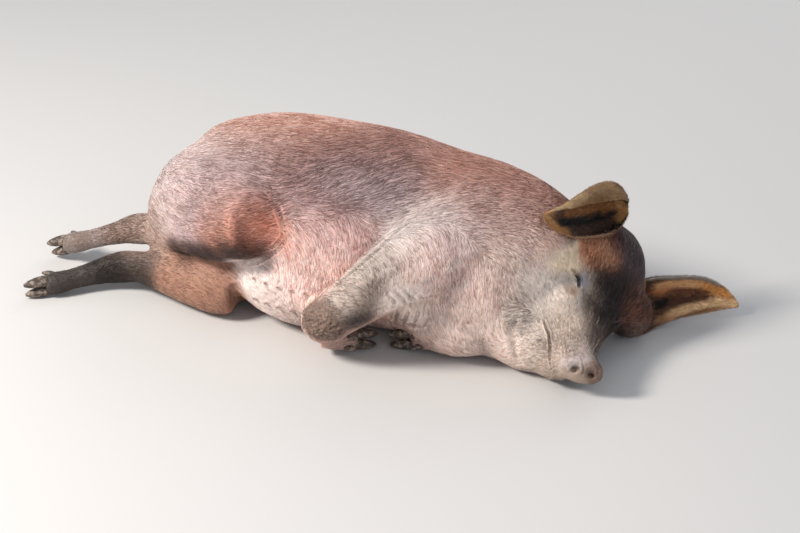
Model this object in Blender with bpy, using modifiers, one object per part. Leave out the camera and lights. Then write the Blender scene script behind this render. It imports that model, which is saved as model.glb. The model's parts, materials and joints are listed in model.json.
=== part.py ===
"""A young duroc pig asleep on its left side, at life size.

Frame: metres. +X runs along the body towards the head, +Y is the side of the spine,
-Y is the side of the belly and the legs, +Z is up. The floor is z = 0.
The whole animal is blended from lofts and balls, and then parted with thin cuts.
It is one still body: it lies on flats that the floor cuts off it.
"""
import math

import bmesh
import bpy
from mathutils import Matrix, Vector

# Driving sizes
GAP = 0.0003              # space between two nodes that touch
BLEND_VOXEL = 0.0062      # cell of the blend that makes one body of the lofts
SOFTEN_FACTOR = 0.5       # share of the way to the neighbours in one softening step
SOFTEN_STEPS = 16
BODY_TRIANGLES = 4700     # triangles of the whole body before it is parted
REGION_MARGIN = 0.004     # room between a limb and the form that parts it off
FLOOR_LOW, FLOOR_HIGH = (-2, -2, -1), (2, 2, 0)

HEAD_SIZE = 1.06          # scale of the head's own sizes below
NOSE = Vector((0.435, -0.087, 0.058))
FACE_FORWARD = Vector((0.342, -0.921, -0.185)).normalized()
FACE_LEFT_HINT = Vector((0.503, 0.345, -0.792))
EYE_BACK, EYE_OUT, EYE_UP = 0.155, 0.052, 0.031
EYE_RADIUS = 0.0125
EYE_SINK = 0.0012         # how far the eyeball lies under the skin
LID_SLIT = (0.0155, 0.0032, 0.010)   # half length, half width and half depth
BROW_RADIUS = 0.024
MOUTH_UP = -0.034
SNOUT_TWIST = math.radians(34)    # the disc is turned against the head by the ground
DISC_SHIFT = 0.007        # and pushed to its own left
NOSTRIL_OUT, NOSTRIL_LEFT, NOSTRIL_UP = 0.0155, 0.003, 0.001
NOSTRIL_RADIUS, NOSTRIL_DEPTH = 0.0078, 0.020

EAR_THICKNESS = 0.0045
RIM_FLATNESS = 0.45        # the curled rim lies close over the hollow of the ear
EAR_ROOTS = {-1: ((0.373, 0.163, 0.172), 0.041), 1: ((0.428, 0.158, 0.045), 0.044)}
HOOF_LENGTH, HOOF_WIDTH, HOOF_HEIGHT = 0.040, 0.019, 0.026
HOOF_SPLIT = 0.0006       # half the space between the two claws
HOOF_SINK = 0.004         # how far a claw is set back into the foot
DEWCLAW_LENGTH, DEWCLAW_WIDTH, DEWCLAW_HEIGHT = 0.018, 0.011, 0.012
DEWCLAW_BACK, DEWCLAW_BEHIND, DEWCLAW_APART = 0.018, 0.019, 0.0105
TEAT_HEIGHT, TEAT_RADIUS = 0.009, 0.0050
PAIRS_OF_TEATS = 5
FIRST_TEAT, TEAT_SPACING = -0.150, 0.026
TEAT_ROWS = (0.074, 0.112)

# Where the body is parted: on the head back and up from the nose, on the trunk along x
JAW_BACK, SNOUT_BACK, HEAD_BACK, HEAD_LOW = 0.116, 0.060, 0.262, -0.122
NECK_FROM, CHEST_FROM, BELLY_FROM = 0.245, 0.045, -0.185

# Stations of the lofts: x, y, z, half height, half depth across it
TRUNK = [
    (-0.412, 0.020, 0.158, 0.045, 0.050),
    (-0.398, 0.018, 0.160, 0.080, 0.092),
    (-0.360, 0.012, 0.156, 0.108, 0.134),
    (-0.300, 0.024, 0.162, 0.144, 0.150),
    (-0.200, 0.032, 0.167, 0.171, 0.157),
    (-0.090, 0.030, 0.167, 0.180, 0.165),
    (0.020, 0.038, 0.166, 0.180, 0.160),
    (0.120, 0.042, 0.161, 0.170, 0.156),
    (0.205, 0.044, 0.158, 0.165, 0.158),
    (0.252, 0.066, 0.150, 0.152, 0.138),
    (0.290, 0.088, 0.137, 0.126, 0.116),
    (0.314, 0.096, 0.122, 0.086, 0.092),
    (0.336, 0.108, 0.112, 0.054, 0.062),
]
# Stations of the head: back from the nose, up, half width, half height
SKULL = [
    (0.010, -0.001, 0.0290, 0.0270),
    (0.026, -0.002, 0.0310, 0.0285),
    (0.055, -0.005, 0.0360, 0.0330),
    (0.090, -0.008, 0.0475, 0.0400),
    (0.130, -0.011, 0.0610, 0.0490),
    (0.165, -0.006, 0.0740, 0.0660),
    (0.205, 0.003, 0.0860, 0.0880),
    (0.245, 0.007, 0.0890, 0.0970),
    (0.285, 0.008, 0.0780, 0.0880),
    (0.318, 0.008, 0.0480, 0.0560),
]
DISC = [
    (-0.001, 0.000, 0.0350, 0.0255),
    (0.006, 0.000, 0.0385, 0.0290),
    (0.014, -0.001, 0.0355, 0.0270),
    (0.028, -0.002, 0.0290, 0.0240),
]
JAW = [
    (0.018, -0.034, 0.0170, 0.0100),
    (0.034, -0.042, 0.0270, 0.0190),
    (0.070, -0.058, 0.0410, 0.0340),
    (0.110, -0.072, 0.0550, 0.0450),
    (0.155, -0.083, 0.0700, 0.0540),
    (0.205, -0.086, 0.0810, 0.0590),
    (0.255, -0.076, 0.0800, 0.0560),
    (0.300, -0.060, 0.0620, 0.0500),
]
# Stations of the limbs: x, y, z, half height, half width
LIMBS = {
    "fore_right": [
        (0.215, -0.010, 0.222, 0.085, 0.085),
        (0.165, -0.085, 0.210, 0.076, 0.070),
        (0.115, -0.135, 0.182, 0.060, 0.055),
        (0.070, -0.160, 0.140, 0.050, 0.046),
        (0.024, -0.166, 0.098, 0.043, 0.041),
        (-0.002, -0.158, 0.070, 0.041, 0.041),
        (-0.014, -0.150, 0.052, 0.031, 0.033),
    ],
    "fore_right_foot": [
        (-0.012, -0.146, 0.042, 0.030, 0.031),
        (0.004, -0.135, 0.034, 0.025, 0.026),
        (0.018, -0.124, 0.028, 0.021, 0.022),
        (0.028, -0.116, 0.027, 0.022, 0.023),
        (0.034, -0.111, 0.025, 0.018, 0.020),
    ],
    "fore_left": [
        (0.240, 0.020, 0.090, 0.070, 0.070),
        (0.220, -0.008, 0.060, 0.052, 0.050),
        (0.196, -0.022, 0.044, 0.040, 0.040),
        (0.172, -0.036, 0.036, 0.034, 0.034),
        (0.158, -0.042, 0.032, 0.031, 0.031),
    ],
    "fore_left_foot": [
        (0.160, -0.042, 0.030, 0.028, 0.029),
        (0.142, -0.050, 0.025, 0.023, 0.023),
        (0.124, -0.057, 0.022, 0.020, 0.020),
        (0.114, -0.062, 0.022, 0.016, 0.018),
    ],
    "hind_right": [
        (-0.315, 0.045, 0.190, 0.085, 0.085),
        (-0.262, -0.035, 0.203, 0.098, 0.092),
        (-0.190, -0.112, 0.209, 0.083, 0.072),
        (-0.144, -0.152, 0.216, 0.055, 0.048),
    ],
    "hind_right_shank": [
        (-0.146, -0.152, 0.211, 0.050, 0.046),
        (-0.218, -0.130, 0.186, 0.060, 0.052),
        (-0.290, -0.100, 0.157, 0.057, 0.052),
        (-0.365, -0.078, 0.124, 0.044, 0.038),
        (-0.425, -0.062, 0.106, 0.031, 0.027),
        (-0.458, -0.058, 0.097, 0.030, 0.025),
        (-0.500, -0.062, 0.080, 0.022, 0.020),
        (-0.555, -0.068, 0.057, 0.019, 0.019),
        (-0.598, -0.073, 0.040, 0.022, 0.021),
        (-0.616, -0.075, 0.033, 0.017, 0.018),
    ],
    "hind_left": [
        (-0.300, 0.010, 0.100, 0.090, 0.090),
        (-0.255, -0.050, 0.078, 0.074, 0.070),
        (-0.222, -0.095, 0.058, 0.054, 0.052),
    ],
    "hind_left_shank": [
        (-0.214, -0.108, 0.052, 0.046, 0.040),
        (-0.250, -0.112, 0.054, 0.052, 0.046),
        (-0.310, -0.110, 0.053, 0.048, 0.042),
        (-0.375, -0.106, 0.050, 0.038, 0.034),
        (-0.430, -0.104, 0.046, 0.030, 0.028),
        (-0.462, -0.112, 0.041, 0.031, 0.027),
        (-0.496, -0.136, 0.034, 0.024, 0.022),
        (-0.528, -0.170, 0.027, 0.020, 0.020),
        (-0.552, -0.196, 0.024, 0.022, 0.022),
        (-0.564, -0.208, 0.022, 0.017, 0.018),
    ],
}
TAIL = [
    (-0.360, 0.090, 0.185, 0.024, 0.024),
    (-0.402, 0.108, 0.178, 0.017, 0.017),
    (-0.430, 0.132, 0.152, 0.012, 0.012),
    (-0.434, 0.158, 0.116, 0.010, 0.010),
    (-0.414, 0.176, 0.084, 0.009, 0.009),
    (-0.386, 0.172, 0.062, 0.008, 0.008),
    (-0.372, 0.150, 0.050, 0.008, 0.008),
    (-0.380, 0.128, 0.042, 0.009, 0.009),
]
# Soft masses: centre, radii
MASSES = {
    "ham": ((-0.262, -0.030, 0.194), (0.135, 0.122, 0.112)),
    "shoulder": ((0.190, 0.010, 0.215), (0.105, 0.115, 0.108)),
    "brisket": ((0.186, -0.034, 0.087), (0.104, 0.078, 0.086)),
    "throat": ((0.268, 0.006, 0.096), (0.100, 0.092, 0.100)),
    "cheek": ((0.349, 0.021, 0.111), (0.055, 0.055, 0.055)),
    "jowl": ((0.316, -0.018, 0.060), (0.078, 0.062, 0.062)),
    "cheek_up": ((0.280, 0.066, 0.126), (0.096, 0.100, 0.096)),
    "belly_sag": ((-0.090, -0.050, 0.090), (0.170, 0.105, 0.090)),
}

parts = bpy.data.collections.new("duroc_pig")
cutters = bpy.data.collections.new("cutters")


def start():
    for thing in list(bpy.data.objects):
        bpy.data.objects.remove(thing)
    bpy.context.scene.collection.children.link(parts)
    bpy.context.scene.collection.children.link(cutters)


def material(name, colour, roughness=0.6):
    made = bpy.data.materials.new(name)
    made.use_nodes = True
    shader = made.node_tree.nodes["Principled BSDF"]
    shader.inputs["Base Color"].default_value = (*colour, 1)
    shader.inputs["Roughness"].default_value = roughness
    return made


def make_object(name, mesh, collection=parts):
    made = bpy.data.objects.new(name, mesh)
    collection.objects.link(made)
    return made


def bake(thing):
    """Give the object the mesh that its modifiers make of it."""
    graph = bpy.context.evaluated_depsgraph_get()
    mesh = bpy.data.meshes.new_from_object(thing.evaluated_get(graph))
    thing.modifiers.clear()
    old = thing.data
    thing.data = mesh
    bpy.data.meshes.remove(old)
    return thing


def smooth_path(stations, steps):
    """Catmull-Rom values between the stations, steps for each stretch."""
    rows = [Vector(row) for row in stations]
    rows = [2 * rows[0] - rows[1]] + rows + [2 * rows[-1] - rows[-2]]
    path = []
    for i in range(1, len(rows) - 2):
        a, b, c, d = rows[i - 1:i + 3]
        for k in range(steps):
            t = k / steps
            path.append(0.5 * (2 * b + (c - a) * t + (2 * a - 5 * b + 4 * c - d) * t * t
                               + (3 * b - a - 3 * c + d) * t ** 3))
    path.append(rows[-2])
    return path


def loft(name, stations, guide, sides=20, steps=3):
    """A closed body through elliptical rings; guide is the way of the first radius."""
    path = smooth_path(stations, steps)
    bm = bmesh.new()
    rings = []
    for i, row in enumerate(path):
        centre = Vector(row[:3])
        ahead = Vector(path[min(i + 1, len(path) - 1)][:3])
        behind = Vector(path[max(i - 1, 0)][:3])
        along = (ahead - behind).normalized()
        up = (guide - guide.dot(along) * along).normalized()
        side = along.cross(up)
        ring = []
        for k in range(sides):
            angle = math.tau * k / sides
            point = centre + up * (max(row[3], 0.002) * math.cos(angle))
            point = point + side * (max(row[4], 0.002) * math.sin(angle))
            ring.append(bm.verts.new(point))
        rings.append(ring)
    for near, far in zip(rings, rings[1:]):
        for k in range(sides):
            j = (k + 1) % sides
            bm.faces.new((near[k], near[j], far[j], far[k]))
    bm.faces.new(rings[0][::-1])
    bm.faces.new(rings[-1])
    bmesh.ops.recalc_face_normals(bm, faces=bm.faces)
    mesh = bpy.data.meshes.new(name)
    bm.to_mesh(mesh)
    bm.free()
    return make_object(name, mesh, cutters)


def ball(name, centre, radii, segments=24, rings=14, turn=None):
    bm = bmesh.new()
    place = Matrix.Translation(centre)
    if turn is not None:
        place = place @ turn.to_4x4()
    place = place @ Matrix.Diagonal((*radii, 1))
    bmesh.ops.create_uvsphere(bm, u_segments=segments, v_segments=rings, radius=1, matrix=place)
    mesh = bpy.data.meshes.new(name)
    bm.to_mesh(mesh)
    bm.free()
    return make_object(name, mesh, cutters)


def block(name, low, high, frame=None):
    """A box between two corners, in the world's frame or in one that is given."""
    low, high = Vector(low), Vector(high)
    bm = bmesh.new()
    place = Matrix.Translation((low + high) / 2) @ Matrix.Diagonal((*(high - low), 1))
    if frame is not None:
        place = frame @ place
    bmesh.ops.create_cube(bm, size=1, matrix=place)
    mesh = bpy.data.meshes.new(name)
    bm.to_mesh(mesh)
    bm.free()
    return make_object(name, mesh, cutters)


def copy_of(thing, name, collection=cutters):
    return make_object(name, thing.data.copy(), collection)


def volume_of(mesh):
    bm = bmesh.new()
    bm.from_mesh(mesh)
    volume = bm.calc_volume(signed=True)
    bm.free()
    return volume


def cut_with(thing, cutter, operation, solver):
    cut = thing.modifiers.new("cut", "BOOLEAN")
    cut.operation = operation
    cut.solver = solver
    cut.object = cutter
    return bake(thing)


def boolean(thing, cutter, operation):
    """The exact solver, and the manifold one where the exact one gives too much or nothing."""
    before = thing.data.copy()
    most = volume_of(before)
    least = 0
    if operation == "UNION":
        least = most
        most += volume_of(cutter.data)
    if operation == "DIFFERENCE":
        least = most - volume_of(cutter.data)
    cut_with(thing, cutter, operation, "EXACT")
    if not max(0, least * 0.9999) < volume_of(thing.data) <= most * 1.0001:
        thing.data = before
        cut_with(thing, cutter, operation, "MANIFOLD")
    return thing


def keep_largest(thing):
    """Drop loose scraps and sealed hollows, and keep the largest closed surface."""
    bm = bmesh.new()
    bm.from_mesh(thing.data)
    bmesh.ops.remove_doubles(bm, verts=bm.verts, dist=0.00002)
    bmesh.ops.dissolve_degenerate(bm, edges=bm.edges, dist=0.00002)
    left = set(bm.faces)
    islands = []
    while left:
        seed = left.pop()
        island, front = [seed], [seed]
        while front:
            face = front.pop()
            for edge in face.edges:
                for other in edge.link_faces:
                    if other in left:
                        left.remove(other)
                        island.append(other)
                        front.append(other)
        islands.append(island)
    islands.sort(key=lambda faces: sum(face.calc_area() for face in faces))
    for island in islands[:-1]:
        bmesh.ops.delete(bm, geom=island, context="FACES")
    loose = [vert for vert in bm.verts if not vert.link_faces]
    bmesh.ops.delete(bm, geom=loose, context="VERTS")
    bmesh.ops.triangulate(bm, faces=bm.faces)
    bm.to_mesh(thing.data)
    bm.free()
    return thing


def grown(thing, distance, name):
    """A copy of a cutter with its faces moved out along their normals."""
    bigger = copy_of(thing, name)
    bm = bmesh.new()
    bm.from_mesh(bigger.data)
    bm.normal_update()
    moved = [vert.co + vert.normal * (distance * vert.calc_shell_factor()) for vert in bm.verts]
    for vert, place in zip(bm.verts, moved):
        vert.co = place
    bm.to_mesh(bigger.data)
    bm.free()
    return bigger


def part_off(body, region, name, look):
    """Take what lies in a region off the body as its own node, with a thin gap."""
    bigger = grown(region, GAP, name + "_gap")
    before = body.data.copy()
    whole = volume_of(before)
    for solver in ("EXACT", "MANIFOLD"):
        node = copy_of(body, name, parts)
        cut_with(node, region, "INTERSECT", solver)
        cut_with(body, bigger, "DIFFERENCE", solver)
        kept = volume_of(node.data) + volume_of(body.data)
        if abs(kept / whole - 1) < 0.004:
            break
        if solver == "EXACT":
            bpy.data.objects.remove(node)
            body.data = before.copy()
    keep_largest(node)
    keep_largest(body)
    for helper in (region, bigger):
        bpy.data.objects.remove(helper)
    node.data.materials.clear()
    node.data.materials.append(look)
    return node


# The head's own frame: forward out of the nose, left, and up out of the crown
face_left = (FACE_LEFT_HINT - FACE_LEFT_HINT.dot(FACE_FORWARD) * FACE_FORWARD).normalized()
face_up = FACE_FORWARD.cross(face_left)
disc_left = face_left * math.cos(SNOUT_TWIST) + face_up * math.sin(SNOUT_TWIST)
disc_up = FACE_FORWARD.cross(disc_left)
HEAD_FRAME = Matrix.Translation(NOSE) @ Matrix(
    (FACE_FORWARD, face_left, face_up)).transposed().to_4x4() @ Matrix.Scale(HEAD_SIZE, 4)


def on_head(back, left, up):
    return HEAD_FRAME @ Vector((-back, left, up))


def head_stations(rows, shift=Vector()):
    stations = []
    for back, up, half_width, half_height in rows:
        place = on_head(back, 0, up) + shift
        stations.append((*place, half_height * HEAD_SIZE, half_width * HEAD_SIZE))
    return stations


def blend_body():
    """One closed skin over the trunk, head and limbs, flat where the floor carries it."""
    up = Vector((0, 0, 1))
    pieces = [loft("trunk", TRUNK, up, sides=32)]
    pieces.append(loft("skull", head_stations(SKULL), face_up, sides=28))
    disc = head_stations(DISC, disc_left * DISC_SHIFT)
    pieces.append(loft("disc", disc, disc_up, sides=24))
    pieces.append(loft("jaw", head_stations(JAW), face_up, sides=24))
    for name, stations in LIMBS.items():
        pieces.append(loft(name + "_form", stations, up))
    pieces.append(loft("tail_form", TAIL, up, sides=12))
    for name, (centre, radii) in MASSES.items():
        pieces.append(ball(name, centre, radii))
    for side in (-1, 1):
        brow = on_head(EYE_BACK + 0.006, side * (EYE_OUT - 0.012), EYE_UP - 0.008)
        pieces.append(ball("brow", brow, (BROW_RADIUS,) * 3))
        centre, radius = EAR_ROOTS[side]
        pieces.append(ball("ear_root", centre, (radius,) * 3))
    bm = bmesh.new()
    for piece in pieces:
        bm.from_mesh(piece.data)
        bpy.data.objects.remove(piece)
    mesh = bpy.data.meshes.new("body")
    bm.to_mesh(mesh)
    bm.free()
    body = make_object("body", mesh, cutters)
    remesh = body.modifiers.new("blend", "REMESH")
    remesh.mode = "VOXEL"
    remesh.voxel_size = BLEND_VOXEL
    soften = body.modifiers.new("soften", "SMOOTH")
    soften.factor = SOFTEN_FACTOR
    soften.iterations = SOFTEN_STEPS
    bake(body)
    thin = body.modifiers.new("thin", "DECIMATE")
    thin.ratio = BODY_TRIANGLES / (2 * len(body.data.polygons))
    bake(body)
    floor = block("floor", FLOOR_LOW, FLOOR_HIGH)
    boolean(body, floor, "DIFFERENCE")
    bpy.data.objects.remove(floor)
    return keep_largest(body)


def ear_bowl(name, rows, across, inward, look):
    """A cup of skin: each row is a place on the spine, the half width, the depth of the
    hollow, and how far the upper and the lower rim curl round it."""
    rows = smooth_path([(*place, *sizes) for place, sizes in rows], 2)
    columns = 11
    bm = bmesh.new()
    grid = {}
    for face, offset in (("inner", 0.0), ("outer", 1.0)):
        for i, row in enumerate(rows):
            for k in range(columns):
                v = 2 * k / (columns - 1) - 1
                angle = math.radians(row[5] * v if v > 0 else row[6] * v)
                ahead = math.cos(angle)
                if ahead < 0:
                    ahead *= RIM_FLATNESS
                place = Vector(row[:3]) + across * (row[3] * math.sin(angle))
                place = place + inward * (row[4] * ahead)
                thick = offset * EAR_THICKNESS * (1 - 0.5 * abs(v) ** 3)
                away = across * math.sin(angle) + inward * math.cos(angle)
                grid[face, i, k] = bm.verts.new(place + away * thick)
    last = len(rows) - 1
    for i in range(last):
        for k in range(columns - 1):
            for face in ("inner", "outer"):
                a, b = grid[face, i, k], grid[face, i, k + 1]
                c, d = grid[face, i + 1, k + 1], grid[face, i + 1, k]
                bm.faces.new((a, b, c))
                bm.faces.new((a, c, d))
    for i in range(last):
        for k in (0, columns - 1):
            bm.faces.new((grid["inner", i, k], grid["inner", i + 1, k],
                          grid["outer", i + 1, k], grid["outer", i, k]))
    for i in (0, last):
        for k in range(columns - 1):
            bm.faces.new((grid["inner", i, k], grid["inner", i, k + 1],
                          grid["outer", i, k + 1], grid["outer", i, k]))
    bmesh.ops.recalc_face_normals(bm, faces=bm.faces)
    mesh = bpy.data.meshes.new(name)
    bm.to_mesh(mesh)
    bm.free()
    ear = make_object(name, mesh)
    ear.data.materials.append(look)
    return ear


start()
hide = material("hide", (0.52, 0.29, 0.22), 0.7)
hide_dark = material("hide_dark", (0.36, 0.17, 0.11), 0.7)
ear_hide = material("ear_hide", (0.48, 0.24, 0.12), 0.7)
horn = material("horn", (0.17, 0.13, 0.10), 0.5)
eye_gloss = material("eye_gloss", (0.03, 0.02, 0.015), 0.15)

# Each foot: its limb, the way across its two claws, and the way to its dewclaws
FEET = {
    "fore_right": ("fore_right_foot", Vector((0, 0.15, 1)), Vector((0.3, -1, 0.2))),
    "fore_left": ("fore_left_foot", Vector((0, 0.15, 1)), Vector((0.1, -1, 0.2))),
    "hind_right": ("hind_right_shank", Vector((0, -0.1, 1)), Vector((0, 1, 0.1))),
    "hind_left": ("hind_left_shank", Vector((0, -0.1, 1)), Vector((0, 1, 0.1))),
}
# Lengths of the limbs that become nodes: limb, first and last station, growth of the cutter
LIMB_NODES = {
    "fore_right_foot": ("fore_right_foot", 1, 4, 1.25),
    "fore_right_arm": ("fore_right", 2, 6, 1.16),
    "fore_left_foot": ("fore_left_foot", 1, 3, 1.25),
    "fore_left_arm": ("fore_left", 2, 4, 1.16),
    "hind_right_foot": ("hind_right_shank", 5, 9, 1.35),
    "hind_right_shank": ("hind_right_shank", 1, 5, 1.16),
    "hind_left_foot": ("hind_left_shank", 5, 9, 1.35),
    "hind_left_shank": ("hind_left_shank", 1, 5, 1.16),
}
UP = Vector((0, 0, 1))


def limb_region(name, limb, first, last, growth):
    rows = []
    for x, y, z, tall, wide in LIMBS[limb][first:last + 1]:
        rows.append((x, y, z, tall * growth + REGION_MARGIN, wide * growth + REGION_MARGIN))
    before, end = Vector(rows[-2]), Vector(rows[-1])
    if last == len(LIMBS[limb]) - 1:
        rows.append(tuple(end + (end - before)))
    return loft(name + "_region", rows, UP, sides=16, steps=2)


def clear_of(thing, body_grown):
    """Cut a piece back to the gap where it meets the body."""
    boolean(thing, body_grown, "DIFFERENCE")
    return keep_largest(thing)


def hoof(name, root, along, across, length, width, height):
    """One claw: rounded wall, narrowing to a blunt toe."""
    along = along.normalized()
    rows = []
    for t, wide, tall in ((-0.35, 0.80, 0.72), (0.1, 1.0, 0.95), (0.45, 0.96, 0.84),
                          (0.8, 0.66, 0.55), (1.0, 0.26, 0.22)):
        rows.append((*(root + along * (t * length)), wide * width / 2, tall * height / 2))
    made = loft(name, rows, across, sides=10, steps=1)
    cutters.objects.unlink(made)
    parts.objects.link(made)
    made.data.materials.append(horn)
    return made


def add_hooves(body_grown, floor):
    for foot, (limb, across, behind) in FEET.items():
        end, before = Vector(LIMBS[limb][-1][:3]), Vector(LIMBS[limb][-3][:3])
        along = (end - before).normalized()
        across = (across - across.dot(along) * along).normalized()
        behind = (behind - behind.dot(along) * along).normalized()
        for label, side in (("outer", 1), ("inner", -1)):
            root = end + across * (side * (HOOF_WIDTH / 2 + HOOF_SPLIT)) - along * HOOF_SINK
            claw = hoof(f"{foot}_claw_{label}", root, along, across,
                        HOOF_LENGTH, HOOF_WIDTH, HOOF_HEIGHT)
            boolean(claw, floor, "DIFFERENCE")
            clear_of(claw, body_grown)
            root = end - along * DEWCLAW_BACK + behind * DEWCLAW_BEHIND
            root = root + across * (side * DEWCLAW_APART)
            spur = hoof(f"{foot}_dewclaw_{label}", root, along + behind * 0.7, across,
                        DEWCLAW_LENGTH, DEWCLAW_WIDTH, DEWCLAW_HEIGHT)
            boolean(spur, floor, "DIFFERENCE")
            clear_of(spur, body_grown)


def add_teats(body):
    """Two rows along the belly, sunk in with their roots."""
    for i in range(PAIRS_OF_TEATS):
        x = FIRST_TEAT + TEAT_SPACING * i
        for height in TEAT_ROWS:
            hit, place, normal, face = body.ray_cast(Vector((x, -0.6, height)), Vector((0, 1, 0)))
            if not hit:
                continue
            turn = normal.to_track_quat("Z", "Y").to_matrix()
            teat = ball("teat", place, (TEAT_RADIUS, TEAT_RADIUS, TEAT_HEIGHT), 8, 6, turn)
            boolean(body, teat, "UNION")
            bpy.data.objects.remove(teat)


def add_eyes(body):
    for label, side in (("right", -1), ("left", 1)):
        middle = on_head(EYE_BACK, 0, EYE_UP - 0.018)
        lid = on_head(EYE_BACK, side * EYE_OUT, EYE_UP)
        hit, place, normal, face = body.ray_cast(middle, (lid - middle).normalized())
        outward = (normal + face_left * side * 0.5).normalized()
        centre = place - outward * (EYE_RADIUS + EYE_SINK)
        eye = ball("eye_" + label, centre, (EYE_RADIUS,) * 3, 16, 8)
        cutters.objects.unlink(eye)
        parts.objects.link(eye)
        eye.data.materials.append(eye_gloss)
        socket = ball("socket", centre, (EYE_RADIUS + 2 * GAP,) * 3, 16, 8)
        boolean(body, socket, "DIFFERENCE")
        lid_axis = (FACE_FORWARD + face_up * -0.1 - outward * FACE_FORWARD.dot(outward)).normalized()
        lid_side = outward.cross(lid_axis).normalized()
        turn = Matrix((lid_axis, lid_side, outward)).transposed()
        slit = ball("slit", centre + outward * EYE_RADIUS, LID_SLIT, 16, 8, turn)
        boolean(body, slit, "DIFFERENCE")
        for cutter in (socket, slit):
            bpy.data.objects.remove(cutter)
    return keep_largest(body)


def cut_nostrils(body):
    for side in (-1, 1):
        out = DISC_SHIFT + NOSTRIL_LEFT + side * NOSTRIL_OUT
        mouth = on_head(-0.012, 0, 0) + disc_left * out + disc_up * NOSTRIL_UP
        turn = Matrix((disc_left, disc_up, FACE_FORWARD)).transposed()
        pit = ball("pit", mouth - FACE_FORWARD * 0.008,
                   (NOSTRIL_RADIUS, NOSTRIL_RADIUS * 0.8, NOSTRIL_DEPTH), 14, 8, turn)
        boolean(body, pit, "DIFFERENCE")
        bpy.data.objects.remove(pit)


# The ears from root to tip: place; half width, depth, curl of the upper and lower rim
EAR_ACROSS = Vector((-0.2204, 0.4145, 0.8829))
EAR_INWARD = Vector((-0.4145, 0.7796, -0.4695))
EAR_RIGHT = [
    ((0.4076, 0.1842, 0.2361), (0.009, 0.004, 150, 90)),
    ((0.4002, 0.1701, 0.2405), (0.031, 0.022, 160, 100)),
    ((0.3887, 0.1529, 0.2434), (0.042, 0.032, 165, 108)),
    ((0.3779, 0.1250, 0.2492), (0.043, 0.032, 165, 110)),
    ((0.3695, 0.0920, 0.2551), (0.039, 0.025, 160, 110)),
    ((0.3590, 0.0566, 0.2589), (0.031, 0.019, 150, 105)),
    ((0.3459, 0.0280, 0.2656), (0.019, 0.013, 130, 100)),
    ((0.3368, 0.0069, 0.2747), (0.011, 0.008, 110, 90)),
    ((0.3303, -0.0076, 0.2841), (0.002, 0.002, 90, 80)),
]
EAR_LEFT = [
    ((0.4130, 0.1450, 0.0500), (0.028, 0.018, 90, 80)),
    ((0.4255, 0.1600, 0.0470), (0.040, 0.028, 100, 84)),
    ((0.4415, 0.1820, 0.0455), (0.047, 0.034, 105, 84)),
    ((0.4580, 0.2110, 0.0470), (0.044, 0.032, 105, 80)),
    ((0.4800, 0.2365, 0.0485), (0.038, 0.026, 100, 76)),
    ((0.5045, 0.2615, 0.0475), (0.035, 0.021, 96, 72)),
    ((0.5280, 0.2795, 0.0460), (0.031, 0.016, 92, 70)),
    ((0.5525, 0.2955, 0.0405), (0.021, 0.010, 88, 68)),
    ((0.5685, 0.3055, 0.0320), (0.010, 0.005, 85, 68)),
    ((0.5790, 0.3095, 0.0255), (0.002, 0.002, 80, 68)),
]


def build():
    body = blend_body()
    add_teats(body)
    cut_nostrils(body)
    add_eyes(body)
    whole = grown(body, GAP, "whole")
    floor = block("floor", FLOOR_LOW, FLOOR_HIGH)

    tail = loft("tail", TAIL[1:], UP, sides=12)
    cutters.objects.unlink(tail)
    parts.objects.link(tail)
    tail.data.materials.append(hide)
    clear_of(tail, whole)
    for name, rows in (("ear_right", EAR_RIGHT), ("ear_left", EAR_LEFT)):
        ear = ear_bowl(name, rows, EAR_ACROSS, EAR_INWARD, ear_hide)
        boolean(ear, floor, "DIFFERENCE")
        clear_of(ear, whole)
    add_hooves(whole, floor)

    for name, (limb, first, last, growth) in LIMB_NODES.items():
        part_off(body, limb_region(name, limb, first, last, growth), name, hide_dark)
    jaw = block("jaw_region", (-JAW_BACK, -0.2, -0.2), (0.1, 0.2, MOUTH_UP), HEAD_FRAME)
    part_off(body, jaw, "lower_jaw", hide)
    snout = block("snout_region", (-SNOUT_BACK, -0.2, -0.2), (0.1, 0.2, 0.2), HEAD_FRAME)
    part_off(body, snout, "snout", hide)
    head = block("head_region", (-HEAD_BACK, -0.2, HEAD_LOW), (0.1, 0.2, 0.2), HEAD_FRAME)
    part_off(body, head, "head", hide)
    for name, start_x in (("neck", NECK_FROM), ("chest", CHEST_FROM), ("belly", BELLY_FROM)):
        part_off(body, block(name + "_region", (start_x, -1, -1), (1, 1, 1)), name, hide)
    cutters.objects.unlink(body)
    parts.objects.link(body)
    body.name = "rump"
    keep_largest(body)
    body.data.materials.clear()
    body.data.materials.append(hide)
    for helper in (whole, floor):
        bpy.data.objects.remove(helper)
    for node in parts.objects:
        node.data.shade_smooth()
        node.data.set_sharp_from_angle(angle=math.radians(40))


build()
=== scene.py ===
# %% [markdown]
# # A young duroc pig asleep on its left side
#
# A sleeping pig is one heavy soft form: a barrel of a trunk that sags where
# it lies, a thick neck with no step to the head, and legs that fold under it or
# trail behind. What the eye reads first is the skin, rosy and dusty, and over it
# thousands of short flat bristles that all point the way they would be stroked.
#
# The solids of the frame already have the pose and the outline, so the first
# thing this lesson does is to load them.

# %% Load the frame
import json
import math

import bmesh
import bpy
import numpy as np
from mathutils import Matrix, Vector
from mathutils.bvhtree import BVHTree

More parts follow.
